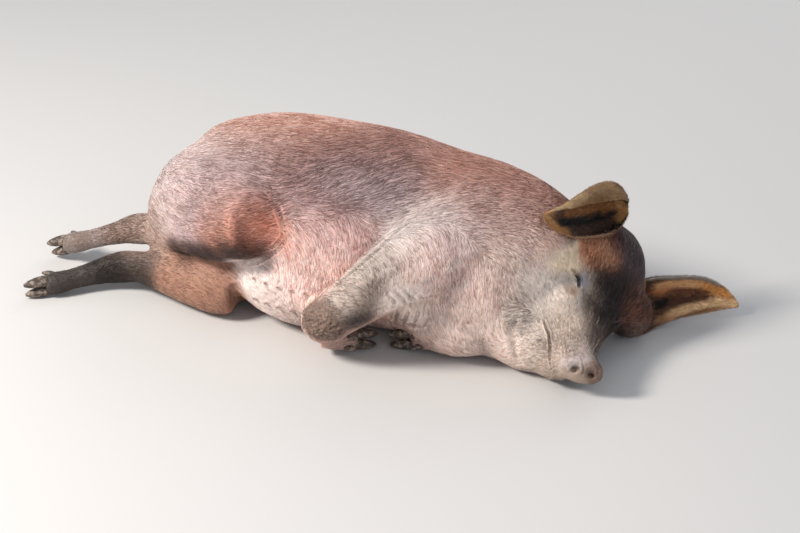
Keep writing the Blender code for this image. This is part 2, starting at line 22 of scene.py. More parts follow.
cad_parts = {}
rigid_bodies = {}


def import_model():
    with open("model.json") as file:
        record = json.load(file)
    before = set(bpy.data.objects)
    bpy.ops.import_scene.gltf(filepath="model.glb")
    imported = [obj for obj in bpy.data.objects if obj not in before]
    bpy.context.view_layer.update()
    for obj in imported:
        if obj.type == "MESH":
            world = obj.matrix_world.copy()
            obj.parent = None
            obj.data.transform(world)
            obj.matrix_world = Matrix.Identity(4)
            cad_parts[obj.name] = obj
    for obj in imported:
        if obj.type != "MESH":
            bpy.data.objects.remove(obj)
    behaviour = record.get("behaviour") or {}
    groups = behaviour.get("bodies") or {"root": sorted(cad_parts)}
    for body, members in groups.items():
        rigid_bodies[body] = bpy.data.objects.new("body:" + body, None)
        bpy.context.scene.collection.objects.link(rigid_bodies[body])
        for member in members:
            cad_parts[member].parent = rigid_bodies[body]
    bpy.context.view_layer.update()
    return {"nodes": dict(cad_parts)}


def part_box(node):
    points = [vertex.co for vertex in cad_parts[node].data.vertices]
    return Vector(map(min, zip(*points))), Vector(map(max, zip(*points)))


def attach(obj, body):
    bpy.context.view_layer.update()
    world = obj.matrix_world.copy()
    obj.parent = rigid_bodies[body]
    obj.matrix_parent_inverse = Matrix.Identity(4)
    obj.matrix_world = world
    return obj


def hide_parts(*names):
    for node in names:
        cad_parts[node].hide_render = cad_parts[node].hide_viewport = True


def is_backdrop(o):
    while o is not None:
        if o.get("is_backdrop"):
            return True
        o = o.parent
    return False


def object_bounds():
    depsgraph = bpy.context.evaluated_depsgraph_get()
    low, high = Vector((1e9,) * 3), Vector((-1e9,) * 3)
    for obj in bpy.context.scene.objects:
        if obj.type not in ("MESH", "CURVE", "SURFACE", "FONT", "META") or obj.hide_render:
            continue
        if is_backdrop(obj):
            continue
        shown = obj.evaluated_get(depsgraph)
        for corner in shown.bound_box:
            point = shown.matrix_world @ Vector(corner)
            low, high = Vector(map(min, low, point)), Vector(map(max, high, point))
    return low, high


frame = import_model()
nodes = frame["nodes"]
print("the frame has", len(nodes), "nodes")

# %% [markdown]
# ## Colours and node trees
#
# Colours are picked as sRGB hex values, as in a paint box, and Blender shades in
# linear light, so one function turns the first into the second. Each material is
# a small tree of nodes, and one function adds a node with its settings and links.

# %% Helpers for colours, nodes and objects
def linear(hex_value):
    """Each sRGB channel c becomes ((c + 0.055) / 1.055) to the power 2.4."""
    channels = [int(hex_value[i:i + 2], 16) / 255 for i in (1, 3, 5)]
    return np.array([c / 12.92 if c <= 0.04045 else ((c + 0.055) / 1.055) ** 2.4
                     for c in channels])


def rgba(hex_value):
    """The linear colour and full cover, as sockets and stops want it."""
    return (*linear(hex_value), 1)


def add_node(tree, kind, links=(), stops=(), **settings):
    """Add a node, set its properties or sockets by name and its stops, and link into it."""
    made = tree.nodes.new(kind)
    for name, value in settings.items():
        if hasattr(made, name):
            setattr(made, name, value)
        else:
            made.inputs[name.replace("_", " ")].default_value = value
    for k, (position, colour) in enumerate(stops):
        stop = made.color_ramp.elements[k]
        stop.position, stop.color = position, rgba(colour)
    for source, socket in links:
        tree.links.new(source, made.inputs[socket])
    return made


def new_material(name, **settings):
    """A Principled material with plain numbers set on its own sockets."""
    made = bpy.data.materials.new(name)
    made.use_nodes = True
    shader = made.node_tree.nodes["Principled BSDF"]
    for socket, value in settings.items():
        shader.inputs[socket.replace("_", " ")].default_value = value
    return made, made.node_tree, shader


def place(name, data, look=None):
    """An object for a mesh, a lamp or a camera, at the origin, in the scene."""
    made = bpy.data.objects.new(name, data)
    bpy.context.scene.collection.objects.link(made)
    if look:
        data.materials.append(look)
    return made

# %% [markdown]
# ## The camera
#
# The camera stands a few steps away, a little above the pig and towards its
# head, with a long lens. It comes first, because folds, creases and
# markings are placed where the camera sees them and then lie on the skin itself.

# %% Camera
VIEW_AZIMUTH, VIEW_ELEVATION = 28.0, 28.0
VIEW_DISTANCE, LENS_MM, SENSOR_MM = 3.3, 85.0, 36.0
LOOK_AT = np.array([0.06, 0.0, 0.12])
PHOTO_WIDTH, PHOTO_HEIGHT = 800, 533

azimuth, elevation = math.radians(VIEW_AZIMUTH), math.radians(VIEW_ELEVATION)
view_right = np.array([math.cos(azimuth), math.sin(azimuth), 0.0])
view_ahead = np.array([-math.sin(azimuth) * math.cos(elevation),
                       math.cos(azimuth) * math.cos(elevation), -math.sin(elevation)])
view_up = np.cross(view_right, view_ahead)
view_from = LOOK_AT - view_ahead * VIEW_DISTANCE

lens = bpy.data.cameras.new("camera")
lens.lens, lens.sensor_width = LENS_MM, SENSOR_MM
camera = place("camera", lens)
camera.location = view_from
camera.rotation_euler = Vector(view_ahead).to_track_quat("-Z", "Y").to_euler()
bpy.context.scene.camera = camera
print("the camera is at", view_from.round(3))


def sight_line(px, py):
    """The direction from the camera through a point of the picture, in its pixels."""
    reach = LENS_MM / SENSOR_MM * PHOTO_WIDTH
    along = view_ahead + view_right * (px - PHOTO_WIDTH / 2) / reach
    along = along + view_up * (PHOTO_HEIGHT / 2 - py) / reach
    return Vector(along).normalized()

# %% [markdown]
# ## One skin from many nodes
#
# The frame parts the body into nodes with thin cuts. A live skin has no cuts, so
# the flesh nodes are copied as arrays, swollen by a third of a millimetre to
# close the gaps, and blended to one surface on a grid of small cells. Working in
# arrays keeps this fast: there are a few hundred thousand points.

# %% Arrays from meshes and back
def arrays_of(mesh):
    """The points and the triangles of a mesh as two arrays."""
    points = np.empty(len(mesh.vertices) * 3, np.float32)
    mesh.vertices.foreach_get("co", points)
    mesh.calc_loop_triangles()
    corners = np.empty(len(mesh.loop_triangles) * 3, np.int32)
    mesh.loop_triangles.foreach_get("vertices", corners)
    return points.reshape(-1, 3).astype(float), corners.reshape(-1, 3)


def welded(points, triangles, step=0.00001):
    """Points that round to the same place become one point."""
    keys = np.round(points / step).astype(np.int64)
    _, first, back = np.unique(keys, axis=0, return_index=True, return_inverse=True)
    triangles = back.reshape(-1)[triangles]
    a, b, c = triangles.T
    return points[first], triangles[(a != b) & (b != c) & (c != a)]


def unit(rows):
    """A vector, or each row of an array of them, made one long."""
    return rows / np.maximum(np.linalg.norm(rows, axis=-1, keepdims=True), 1e-12)


def normals_of(points, triangles):
    """The normal of a point is the sum of its triangles' area vectors, made one long."""
    a, b, c = (points[triangles[:, k]] for k in range(3))
    area = np.cross(b - a, c - a)
    total = np.zeros_like(points)
    for axis in range(3):
        for k in range(3):
            total[:, axis] += np.bincount(triangles[:, k], area[:, axis], len(points))
    return unit(total)


def mesh_from(name, points, faces):
    """A mesh from an array of points and one of faces that all have as many corners."""
    mesh = bpy.data.meshes.new(name)
    sides = faces.shape[1]
    mesh.vertices.add(len(points))
    mesh.vertices.foreach_set("co", points.astype(np.float32).ravel())
    mesh.loops.add(faces.size)
    mesh.loops.foreach_set("vertex_index", faces.astype(np.int32).ravel())
    mesh.polygons.add(len(faces))
    mesh.polygons.foreach_set("loop_start", np.arange(0, faces.size, sides, dtype=np.int32))
    mesh.update(calc_edges=True)
    mesh.polygons.foreach_set("use_smooth", np.full(len(faces), True))
    return mesh


def piece_of(name, points, faces, look=None):
    """An object made from arrays."""
    return place(name, mesh_from(name, points, faces), look)


def taken(mesh):
    """The arrays of a mesh that isn't needed afterwards."""
    made = arrays_of(mesh)
    bpy.data.meshes.remove(mesh)
    return made


def modified(piece, kind, **settings):
    """The arrays that a modifier makes of a piece; the piece goes."""
    modifier = piece.modifiers.new(kind, kind)
    for name, value in settings.items():
        setattr(modifier, name, value)
    graph = bpy.context.evaluated_depsgraph_get()
    mesh = bpy.data.meshes.new_from_object(piece.evaluated_get(graph))
    bpy.data.objects.remove(piece)
    return taken(mesh)

# %% Join the flesh
HARD_NODES = [name for name in nodes if "claw" in name or name.startswith("eye")]
FLESH_NODES = [name for name in nodes if name not in HARD_NODES]
CLOSE_GAPS = 0.00035       # half a gap and a little more
SKIN_CELL = 0.0022         # size of the cells of the blend
LID_BALL = 0.0150          # radius of the closed lids over the eye


def box_of(name):
    """The low and the high corner of a node's box."""
    return [np.array(corner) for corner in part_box(name)]


def centre_of(name):
    """Half way between the corners of a node's box."""
    return sum(box_of(name)) / 2


def ball(centre, radius, around=24, rings=12):
    """A sphere: rings at angles t from the pole, at radius sin t and height cos t."""
    t = np.linspace(0, math.pi, rings + 1)[:, None]
    p = np.linspace(0, math.tau, around, endpoint=False)[None, :]
    grid = np.stack([np.sin(t) * np.cos(p), np.sin(t) * np.sin(p), np.cos(t) + 0 * p], -1)
    i, j = np.meshgrid(np.arange(rings), np.arange(around), indexing="ij")
    a, b = i * around + j, i * around + (j + 1) % around
    quads = np.stack([a, a + around, b + around, b], -1).reshape(-1, 4)
    triangles = np.concatenate([quads[:, [0, 1, 2]], quads[:, [0, 2, 3]]])
    return welded(grid.reshape(-1, 3) * radius + centre, triangles)


def flesh():
    """The swollen flesh nodes and a ball of lids round each eye, in one pair of arrays."""
    shells = []
    for name in FLESH_NODES:
        points, triangles = welded(*arrays_of(nodes[name].data))
        shells.append((points + normals_of(points, triangles) * CLOSE_GAPS, triangles))
    for name in ("eye_right", "eye_left"):
        shells.append(ball(centre_of(name), LID_BALL))
    starts = np.cumsum([0] + [len(points) for points, _ in shells])
    return (np.concatenate([points for points, _ in shells]),
            np.concatenate([shell[1] + start for shell, start in zip(shells, starts)]))

# %% Blend it to one surface
def blended(points, triangles, cell):
    """All the shells as one surface, on a grid of cells."""
    piece = piece_of("blend", points, triangles)
    return modified(piece, "REMESH", mode="VOXEL", voxel_size=cell)


def largest_shell(points, triangles):
    """Each point takes the lowest label among its neighbours until none changes."""
    label = np.arange(len(points))
    while True:
        lowest = label[triangles].min(axis=1)
        fresh = label.copy()
        for k in range(3):
            np.minimum.at(fresh, triangles[:, k], lowest)
        fresh = fresh[fresh]
        if np.array_equal(fresh, label):
            break
        label = fresh
    keep = label == np.bincount(label).argmax()
    order = np.cumsum(keep) - 1
    return points[keep], order[triangles[keep[triangles[:, 0]]]]


skin_points, skin_triangles = largest_shell(*blended(*flesh(), SKIN_CELL))
print("the blend has", len(skin_points), "points")

# %% [markdown]
# ## Smooth the blend
#
# A blend on cells has small steps. Taubin's way of smoothing moves every point
# towards the middle of its neighbours and then a little further back, so the
# steps go and the volume stays. The rule runs on whole arrays: the sum over the
# neighbours is a count with weights.

# %% Smooth the blend
SMOOTH_IN, SMOOTH_OUT = 0.50, -0.52


def edges_of(triangles):
    """Each edge once, as a pair of points."""
    pairs = np.concatenate([triangles[:, [0, 1]], triangles[:, [1, 2]], triangles[:, [2, 0]]])
    return np.unique(np.sort(pairs, axis=1), axis=0)


def smoothed(points, triangles, rounds):
    """Points move by a share of the way to their neighbours' mean, in and out in turn."""
    a, b = edges_of(triangles).T
    count = len(points)
    degree = np.bincount(a, minlength=count) + np.bincount(b, minlength=count)
    points = points.copy()
    for k in range(rounds * 2):
        mean = np.stack([np.bincount(a, points[b, axis], count)
                         + np.bincount(b, points[a, axis], count)
                         for axis in range(3)], 1) / degree[:, None]
        points += (mean - points) * (SMOOTH_IN if k % 2 == 0 else SMOOTH_OUT)
    return points


skin_points = smoothed(skin_points, skin_triangles, 9)
skin_points[:, 2] = np.maximum(skin_points[:, 2], 0)
print("smoothed, the pig is", skin_points[:, 2].max().round(4), "m high")

# %% Find places on the skin
form = piece_of("form", skin_points, skin_triangles)
bpy.context.view_layer.update()
form_tree = BVHTree.FromObject(form, bpy.context.evaluated_depsgraph_get())
form_points = skin_points.copy()
bpy.data.objects.remove(form)


def seen_at(px, py):
    """The place on the skin that shows at a point of the picture, and its normal.

    Where the line of sight just misses the outline, the place is the nearest to it.
    """
    ahead = sight_line(px, py)
    spot, normal, _, _ = form_tree.ray_cast(Vector(view_from), ahead)
    if spot is None:
        away = form_points - view_from
        aside = away - (away @ np.array(ahead))[:, None] * np.array(ahead)
        closest = (aside ** 2).sum(axis=1).argmin()
        spot, normal, _, _ = form_tree.find_nearest(Vector(form_points[closest]))
    return np.array(spot), np.array(normal)


def seen_line(*spots):
    """The places on the skin that show at several points of the picture."""
    return np.array([seen_at(*spot)[0] for spot in spots])


EYES = {side: centre_of("eye_" + side) for side in ("right", "left")}
face_mid = (EYES["right"] + EYES["left"]) / 2
face_left = unit(EYES["left"] - EYES["right"])


def mirrored(line):
    """The same line on the other side of the face, set back on the skin."""
    line = line - 2 * ((line - face_mid) @ face_left)[:, None] * face_left
    return np.array([form_tree.find_nearest(Vector(point))[0] for point in line])

# %% [markdown]
# ## Folds and swellings
#
# Skin folds where a limb meets the trunk, and swells between the folds. A furrow
# is a line on the skin: points near it sink by a bell curve of their distance,
# and a fainter swelling runs along both sides. A swelling is a bell round a
# place. The offsets are added up along the skin's own normals and applied once.

# %% Tools for folds
def waves(points, size, seed):
    """A soft random number for each point: sines along twelve drawn ways."""
    draw = np.random.default_rng(seed)
    ways = unit(draw.normal(size=(12, 3)))
    turns = draw.random(12) * math.tau
    pace = math.tau / size * (0.6 + 0.8 * draw.random(12))
    return np.sin(points @ ways.T * pace + turns).mean(axis=1) * 2.4


def gap_to(points, *spots):
    """The distance of each point to the nearest of the spots."""
    return np.min([np.linalg.norm(points - spot, axis=1) for spot in spots], axis=0)


def hump(gap, width):
    """A bell curve of the distance: 1 at 0, and a little over a third at one width."""
    return np.exp(-(gap / width) ** 2)


def reach_of(points, line):
    """Distance of each point to a line of several stretches, and the share along it."""
    lengths = np.linalg.norm(np.diff(line, axis=0), axis=1)
    starts = np.concatenate([[0], np.cumsum(lengths)])
    best = np.full(len(points), 1e9)
    share = np.zeros(len(points))
    for k, length in enumerate(lengths):
        ahead = line[k + 1] - line[k]
        t = np.clip((points - line[k]) @ ahead / length ** 2, 0, 1)
        gap = np.linalg.norm(points - line[k] - t[:, None] * ahead, axis=1)
        nearer = gap < best
        best = np.where(nearer, gap, best)
        share = np.where(nearer, (starts[k] + t * length) / starts[-1], share)
    return best, share


def line_gap(points, lines):
    """The distance of each point to the nearest of several lines."""
    return np.min([reach_of(points, line)[0] for line in lines], axis=0)


def soft_ends(share, ends):
    """1 along a line, and falling to 0 over its first and last shares."""
    return np.clip(np.minimum(share, 1 - share) / ends, 0, 1)


def near_line(points, line, margin):
    """Which points lie in the box round a line, wider by a margin on all sides."""
    low, high = line.min(0) - margin, line.max(0) + margin
    return np.where(((points > low) & (points < high)).all(axis=1))[0]

# %% Furrows and swellings
creases = []        # line, width, depth of its shade and soft ends of every furrow
BANK_AT = 2.1              # a bank lies this many widths beside its furrow
FADE_POWER = 0.7           # how softly a furrow ends
BELL_END = 5               # widths after which a furrow is too faint to count


class Sculpt:
    """Adds offsets along the normals, and then moves all the points at once."""

    def __init__(self, points, triangles):
        self.points = points
        self.normals = normals_of(points, triangles)
        self.offset = np.zeros(len(points))

    def furrow(self, line, depth, width, banks=0.35, ends=0.18, shade=1.0):
        """Depth times a bell of distance over width, fading at both ends of the line."""
        some = near_line(self.points, line, width * BELL_END)
        gap, share = reach_of(self.points[some], line)
        fade = soft_ends(share, ends) ** FADE_POWER
        bank = hump(gap - BANK_AT * width, width)
        self.offset[some] += depth * fade * (banks * bank - hump(gap, width))
        creases.append((line, width, depth * shade, ends))

    def swelling(self, centre, height, radius):
        """Height times a bell of distance over radius."""
        some = near_line(self.points, centre[None], radius * 3)
        self.offset[some] += height * hump(gap_to(self.points[some], centre), radius)

    def moved(self):
        """The points with their offsets; none goes below the floor."""
        made = self.points + self.normals * self.offset[:, None]
        made[:, 2] = np.maximum(made[:, 2], np.minimum(self.points[:, 2], 0.0006))
        return made

# %% Sink the folds of the body
# Depth, width, banks and shade of a fold, and its lines in the picture
# The shade of a fold is painted shade: it darkens the colour of skin and coat along it.
BODY_FOLDS = [
    # in front of the thigh, the front of the arm, and between the hind legs
    (0.0034, 0.0034, 0.35, 1.0, [((282, 250), (284, 240), (283, 228), (279, 214), (275, 203))]),
    (0.0030, 0.0042, 0.35, 0.7, [((341, 279), (356, 267), (370, 255), (385, 241), (399, 229),
                                  (416, 217))]),
    (0.0045, 0.0052, 0.35, 1.6, [((168, 252), (190, 256), (215, 260), (240, 262), (260, 258))]),
    # the groin
    (0.0036, 0.0026, 0.35, 1.9, [((283, 236), (275, 247), (258, 256), (236, 261)),
                                 ((285, 241), (276, 252), (262, 260), (246, 265))]),
    # the wrinkles behind the arm
    (0.0044, 0.0026, 0.35, 1.4, [((386, 292), (394, 302), (397, 314), (395, 324)),
                                 ((393, 289), (403, 300), (407, 314), (403, 328)),
                                 ((401, 287), (413, 300), (417, 314), (412, 330)),
                                 ((411, 286), (423, 300), (427, 314), (421, 331)),
                                 ((399, 318), (408, 325), (420, 326), (431, 318))]),
    # bands across the forearm
    (0.0012, 0.0030, 0.35, 1.0, [((349, 284), (358, 290), (366, 301)),
                                 ((342, 291), (352, 298), (358, 308)),
                                 ((361, 274), (371, 281), (378, 291))]),
    # the crease of the jowl, the hollow behind the shoulder, and waves on the flank
    (0.0030, 0.0060, 0.35, 0.4, [((523, 300), (514, 314), (511, 332), (513, 352), (520, 366))]),
    (0.0022, 0.0150, 0.20, 0.0, [((455, 232), (462, 262), (460, 292))]),
    (0.0014, 0.0070, 0.35, 0.1, [((300, 208), (296, 224), (298, 242), (296, 262)),
                                 ((322, 212), (322, 232), (322, 252))])]

body = Sculpt(skin_points, skin_triangles)
for depth, width, banks, shade, lines in BODY_FOLDS:
    for line in lines:
        body.furrow(seen_line(*line), depth, width, banks, shade=shade)
skin_points = body.moved()
print("furrows on the body:", len(creases))

# %% [markdown]
# ## Thin the mesh where the body is plain
#
# The coat hides most of the trunk, so it can do with larger triangles, while
# the face keeps all of its own. Decimate reads a vertex group: points with no
# weight in it are left as they are. Then the few faces round the eyes, the
# mouth and the nose are split once more, to carry lids, lips and nostrils.

# %% Thin the trunk and refine the face
FACE_REACH = 0.105
FACE_KEEP = [face_mid, seen_at(575, 345)[0], seen_at(580, 372)[0]]
SKIN_TRIANGLES = 142000


def thinned(points, triangles, wanted):
    """Fewer triangles away from the face."""
    piece = piece_of("thin", points, triangles)
    group = piece.vertex_groups.new(name="plain")
    far = np.where(gap_to(points, *FACE_KEEP) > FACE_REACH)[0]
    group.add(far.tolist(), 1.0, "REPLACE")
    return modified(piece, "DECIMATE", ratio=wanted / len(triangles), vertex_group=group.name)


def refined(points, triangles, lines, reach):
    """Split each triangle near the lines into four, with even transitions."""
    gap = line_gap(points[triangles].mean(axis=1), lines)
    mesh = mesh_from("refine", points, triangles)
    bm = bmesh.new()
    bm.from_mesh(mesh)
    bm.faces.ensure_lookup_table()
    edges = {edge for k in np.where(gap < reach)[0] for edge in bm.faces[k].edges}
    bmesh.ops.subdivide_edges(bm, edges=list(edges), cuts=1, use_grid_fill=True)
    bmesh.ops.triangulate(bm, faces=bm.faces)
    bm.to_mesh(mesh)
    bm.free()
    return taken(mesh)


EYE_SLIT = seen_line((571.5, 268), (575.2, 273.5), (578.2, 280.5), (578.8, 288))
SLITS = {"right": EYE_SLIT, "left": mirrored(EYE_SLIT)}
MOUTH_RIGHT = seen_line((544, 319), (546, 327), (549, 334), (550.5, 345), (550, 357), (552, 371))
MOUTHS = [MOUTH_RIGHT, mirrored(MOUTH_RIGHT)]
DISC_MID, DISC_NORMAL = seen_at(580, 373)

KNEE = seen_line((304, 318), (316, 326), (330, 330))
slits, disc = list(SLITS.values()), np.array([DISC_MID, DISC_MID + 1e-5])

skin_points, skin_triangles = thinned(skin_points, skin_triangles, SKIN_TRIANGLES)
for lines, reach in ((slits + [disc], 0.026), (MOUTHS, 0.009), ([KNEE], 0.034), (slits, 0.011)):
    skin_points, skin_triangles = refined(skin_points, skin_triangles, lines, reach)
print("the skin has", len(skin_triangles), "triangles")

# %% [markdown]
# ## Lids, lips and nose
#
# A sleeping eye is a long slit between two swollen lids, with thin creases round
# it like the rings of an onion. The slit is a deep narrow furrow that lets the
# eyeball behind it shine through. The nose ends in a bare disc with a raised rim,
# and the lips meet in a line that runs back below the cheek.

# %% Shape the face
LID_CREASES = ((0.0075, 0.0010), (0.0110, 0.0011), (-0.0085, 0.0010), (-0.0130, 0.0011))
# Each furrow of the face also darkens the colour along it with painted shade, most in the lid
# creases.
face = Sculpt(skin_points, skin_triangles)
for side, slit in SLITS.items():
    middle = slit[len(slit) // 2]
    face.swelling(middle, height=0.0026, radius=0.0120)
    face.furrow(slit, depth=0.0062, width=0.0027, banks=0.30, ends=0.10)
    out = unit(np.cross(slit[-1] - slit[0], EYES[side] - middle))
    for step, depth in LID_CREASES:
        bow = np.array([0.5, 1.0, 1.0, 0.5])[:, None] * step * out
        face.furrow(slit + bow, depth, width=0.0014, banks=0.7, ends=0.3, shade=2.2)
for line in MOUTHS:
    face.furrow(line, depth=0.0042, width=0.0019, banks=0.50, ends=0.10, shade=0.6)

DISC_RADIUS, RIM_WIDTH, RIM_HEIGHT, RIM_DEPTH = 0.036, 0.0042, 0.0024, 0.012
NOSTRIL_RADIUS, NOSTRIL_WIDTH, NOSTRIL_HEIGHT = 0.0125, 0.0036, 0.0016
some = near_line(face.points, DISC_MID[None], 0.06)
from_disc = face.points[some] - DISC_MID
height = from_disc @ DISC_NORMAL
across = np.linalg.norm(from_disc - height[:, None] * DISC_NORMAL, axis=1)
rim = hump(across - DISC_RADIUS, RIM_WIDTH) * hump(height, RIM_DEPTH)
face.offset[some] += RIM_HEIGHT * rim
for spot in seen_line((575, 366), (591, 373)):
    ring = hump(gap_to(face.points[some], spot) - NOSTRIL_RADIUS, NOSTRIL_WIDTH)
    face.offset[some] += NOSTRIL_HEIGHT * ring
SNOUT_WRINKLES = [((560, 356), (569, 351), (578, 350), (586, 354)),
                  ((558, 351), (568, 346), (578, 345), (588, 349)),
                  ((566, 340), (575, 338), (585, 341)),
                  ((582, 362), (584, 368), (582, 376)),
                  ((594, 363), (598, 369), (597, 377))]
for line in SNOUT_WRINKLES:
    face.furrow(seen_line(*line), depth=0.0013, width=0.0017, banks=0.6, shade=0.8)

# A cake of dried mud on the knee: lumps of three sizes on a thick crust
CRUST_REACH, CRUST_DEPTH, LUMP_DEPTH = 0.026, 0.0030, 0.0048
LUMPS = ((0.5, 0.016, 11), (0.35, 0.008, 12), (0.3, 0.004, 13))    # share, size, seed
some = near_line(face.points, KNEE, 0.06)
crust = np.exp(-(reach_of(face.points[some], KNEE)[0] / CRUST_REACH) ** 4)
lumps = sum(share * waves(face.points[some], size, seed) for share, size, seed in LUMPS)
face.offset[some] += crust * (CRUST_DEPTH + LUMP_DEPTH * np.clip(lumps, -1, 1))
skin_points = face.moved()
print("furrows with those of the face:", len(creases))

# %% [markdown]
# ## The skin lies under the coat
#
# The solids of the frame reach to the top of the flat coat, so the skin itself
# lies lower by its depth: nearly two millimetres on the trunk, and less on the
# face, the feet and the thin ears.

# %% Sink the skin below the coat
COAT_DEPTH = 0.0018        # on the trunk
THIN_SHARE = 0.75          # how much of that the face and the feet go without
EAR_DEPTH = 0.0002
RESTING = 0.012            # height below which the skin comes back to the solids
FACE_SIZE, FACE_SOFT = 0.05, 0.08
FOOT_SOFT, TAIL_SOFT, EAR_SOFT = 0.03, 0.02, 0.012
FLOOR_GAP = 0.0004


def falling(gap, reach, most=1.6):
    """1 near by, and falling to 0 at a distance of most times the reach."""
    return np.clip(most - gap / reach, 0, 1)


def box_share(points, name, soft):
    """1 inside a node's box and falling to 0 within a soft distance of it."""
    low, high = box_of(name)
    outside = np.maximum(np.maximum(low - points, points - high), 0)
    return falling(np.linalg.norm(outside, axis=1), soft, 1)


def thinness(points):
    """How much a point belongs to the face, to the feet and tail, and to the ears."""
    in_face = falling(gap_to(points, *FACE_KEEP) - FACE_SIZE, FACE_SOFT, 1)
    feet = np.max([box_share(points, "tail", TAIL_SOFT)]
                  + [box_share(points, name, FOOT_SOFT) for name in FLESH_NODES
                     if name.endswith("foot")], axis=0)
    ears = np.max([box_share(points, "ear_" + side, EAR_SOFT) for side in SLITS], axis=0)
    return in_face, feet, ears


in_face, feet, ears = thinness(skin_points)
depth = COAT_DEPTH * (1 - THIN_SHARE * np.maximum(in_face, feet))
depth = depth * (1 - ears) + EAR_DEPTH * ears
print("the skin sinks", depth.min().round(4), "to", depth.max().round(4), "m below the coat")
lying = np.clip(skin_points[:, 2] / RESTING, 0, 1)
skin_normals = normals_of(skin_points, skin_triangles)
skin_points = skin_points - skin_normals * (depth * lying)[:, None]
skin_points[:, 2] = np.maximum(skin_points[:, 2], FLOOR_GAP)
skin_normals = normals_of(skin_points, skin_triangles)
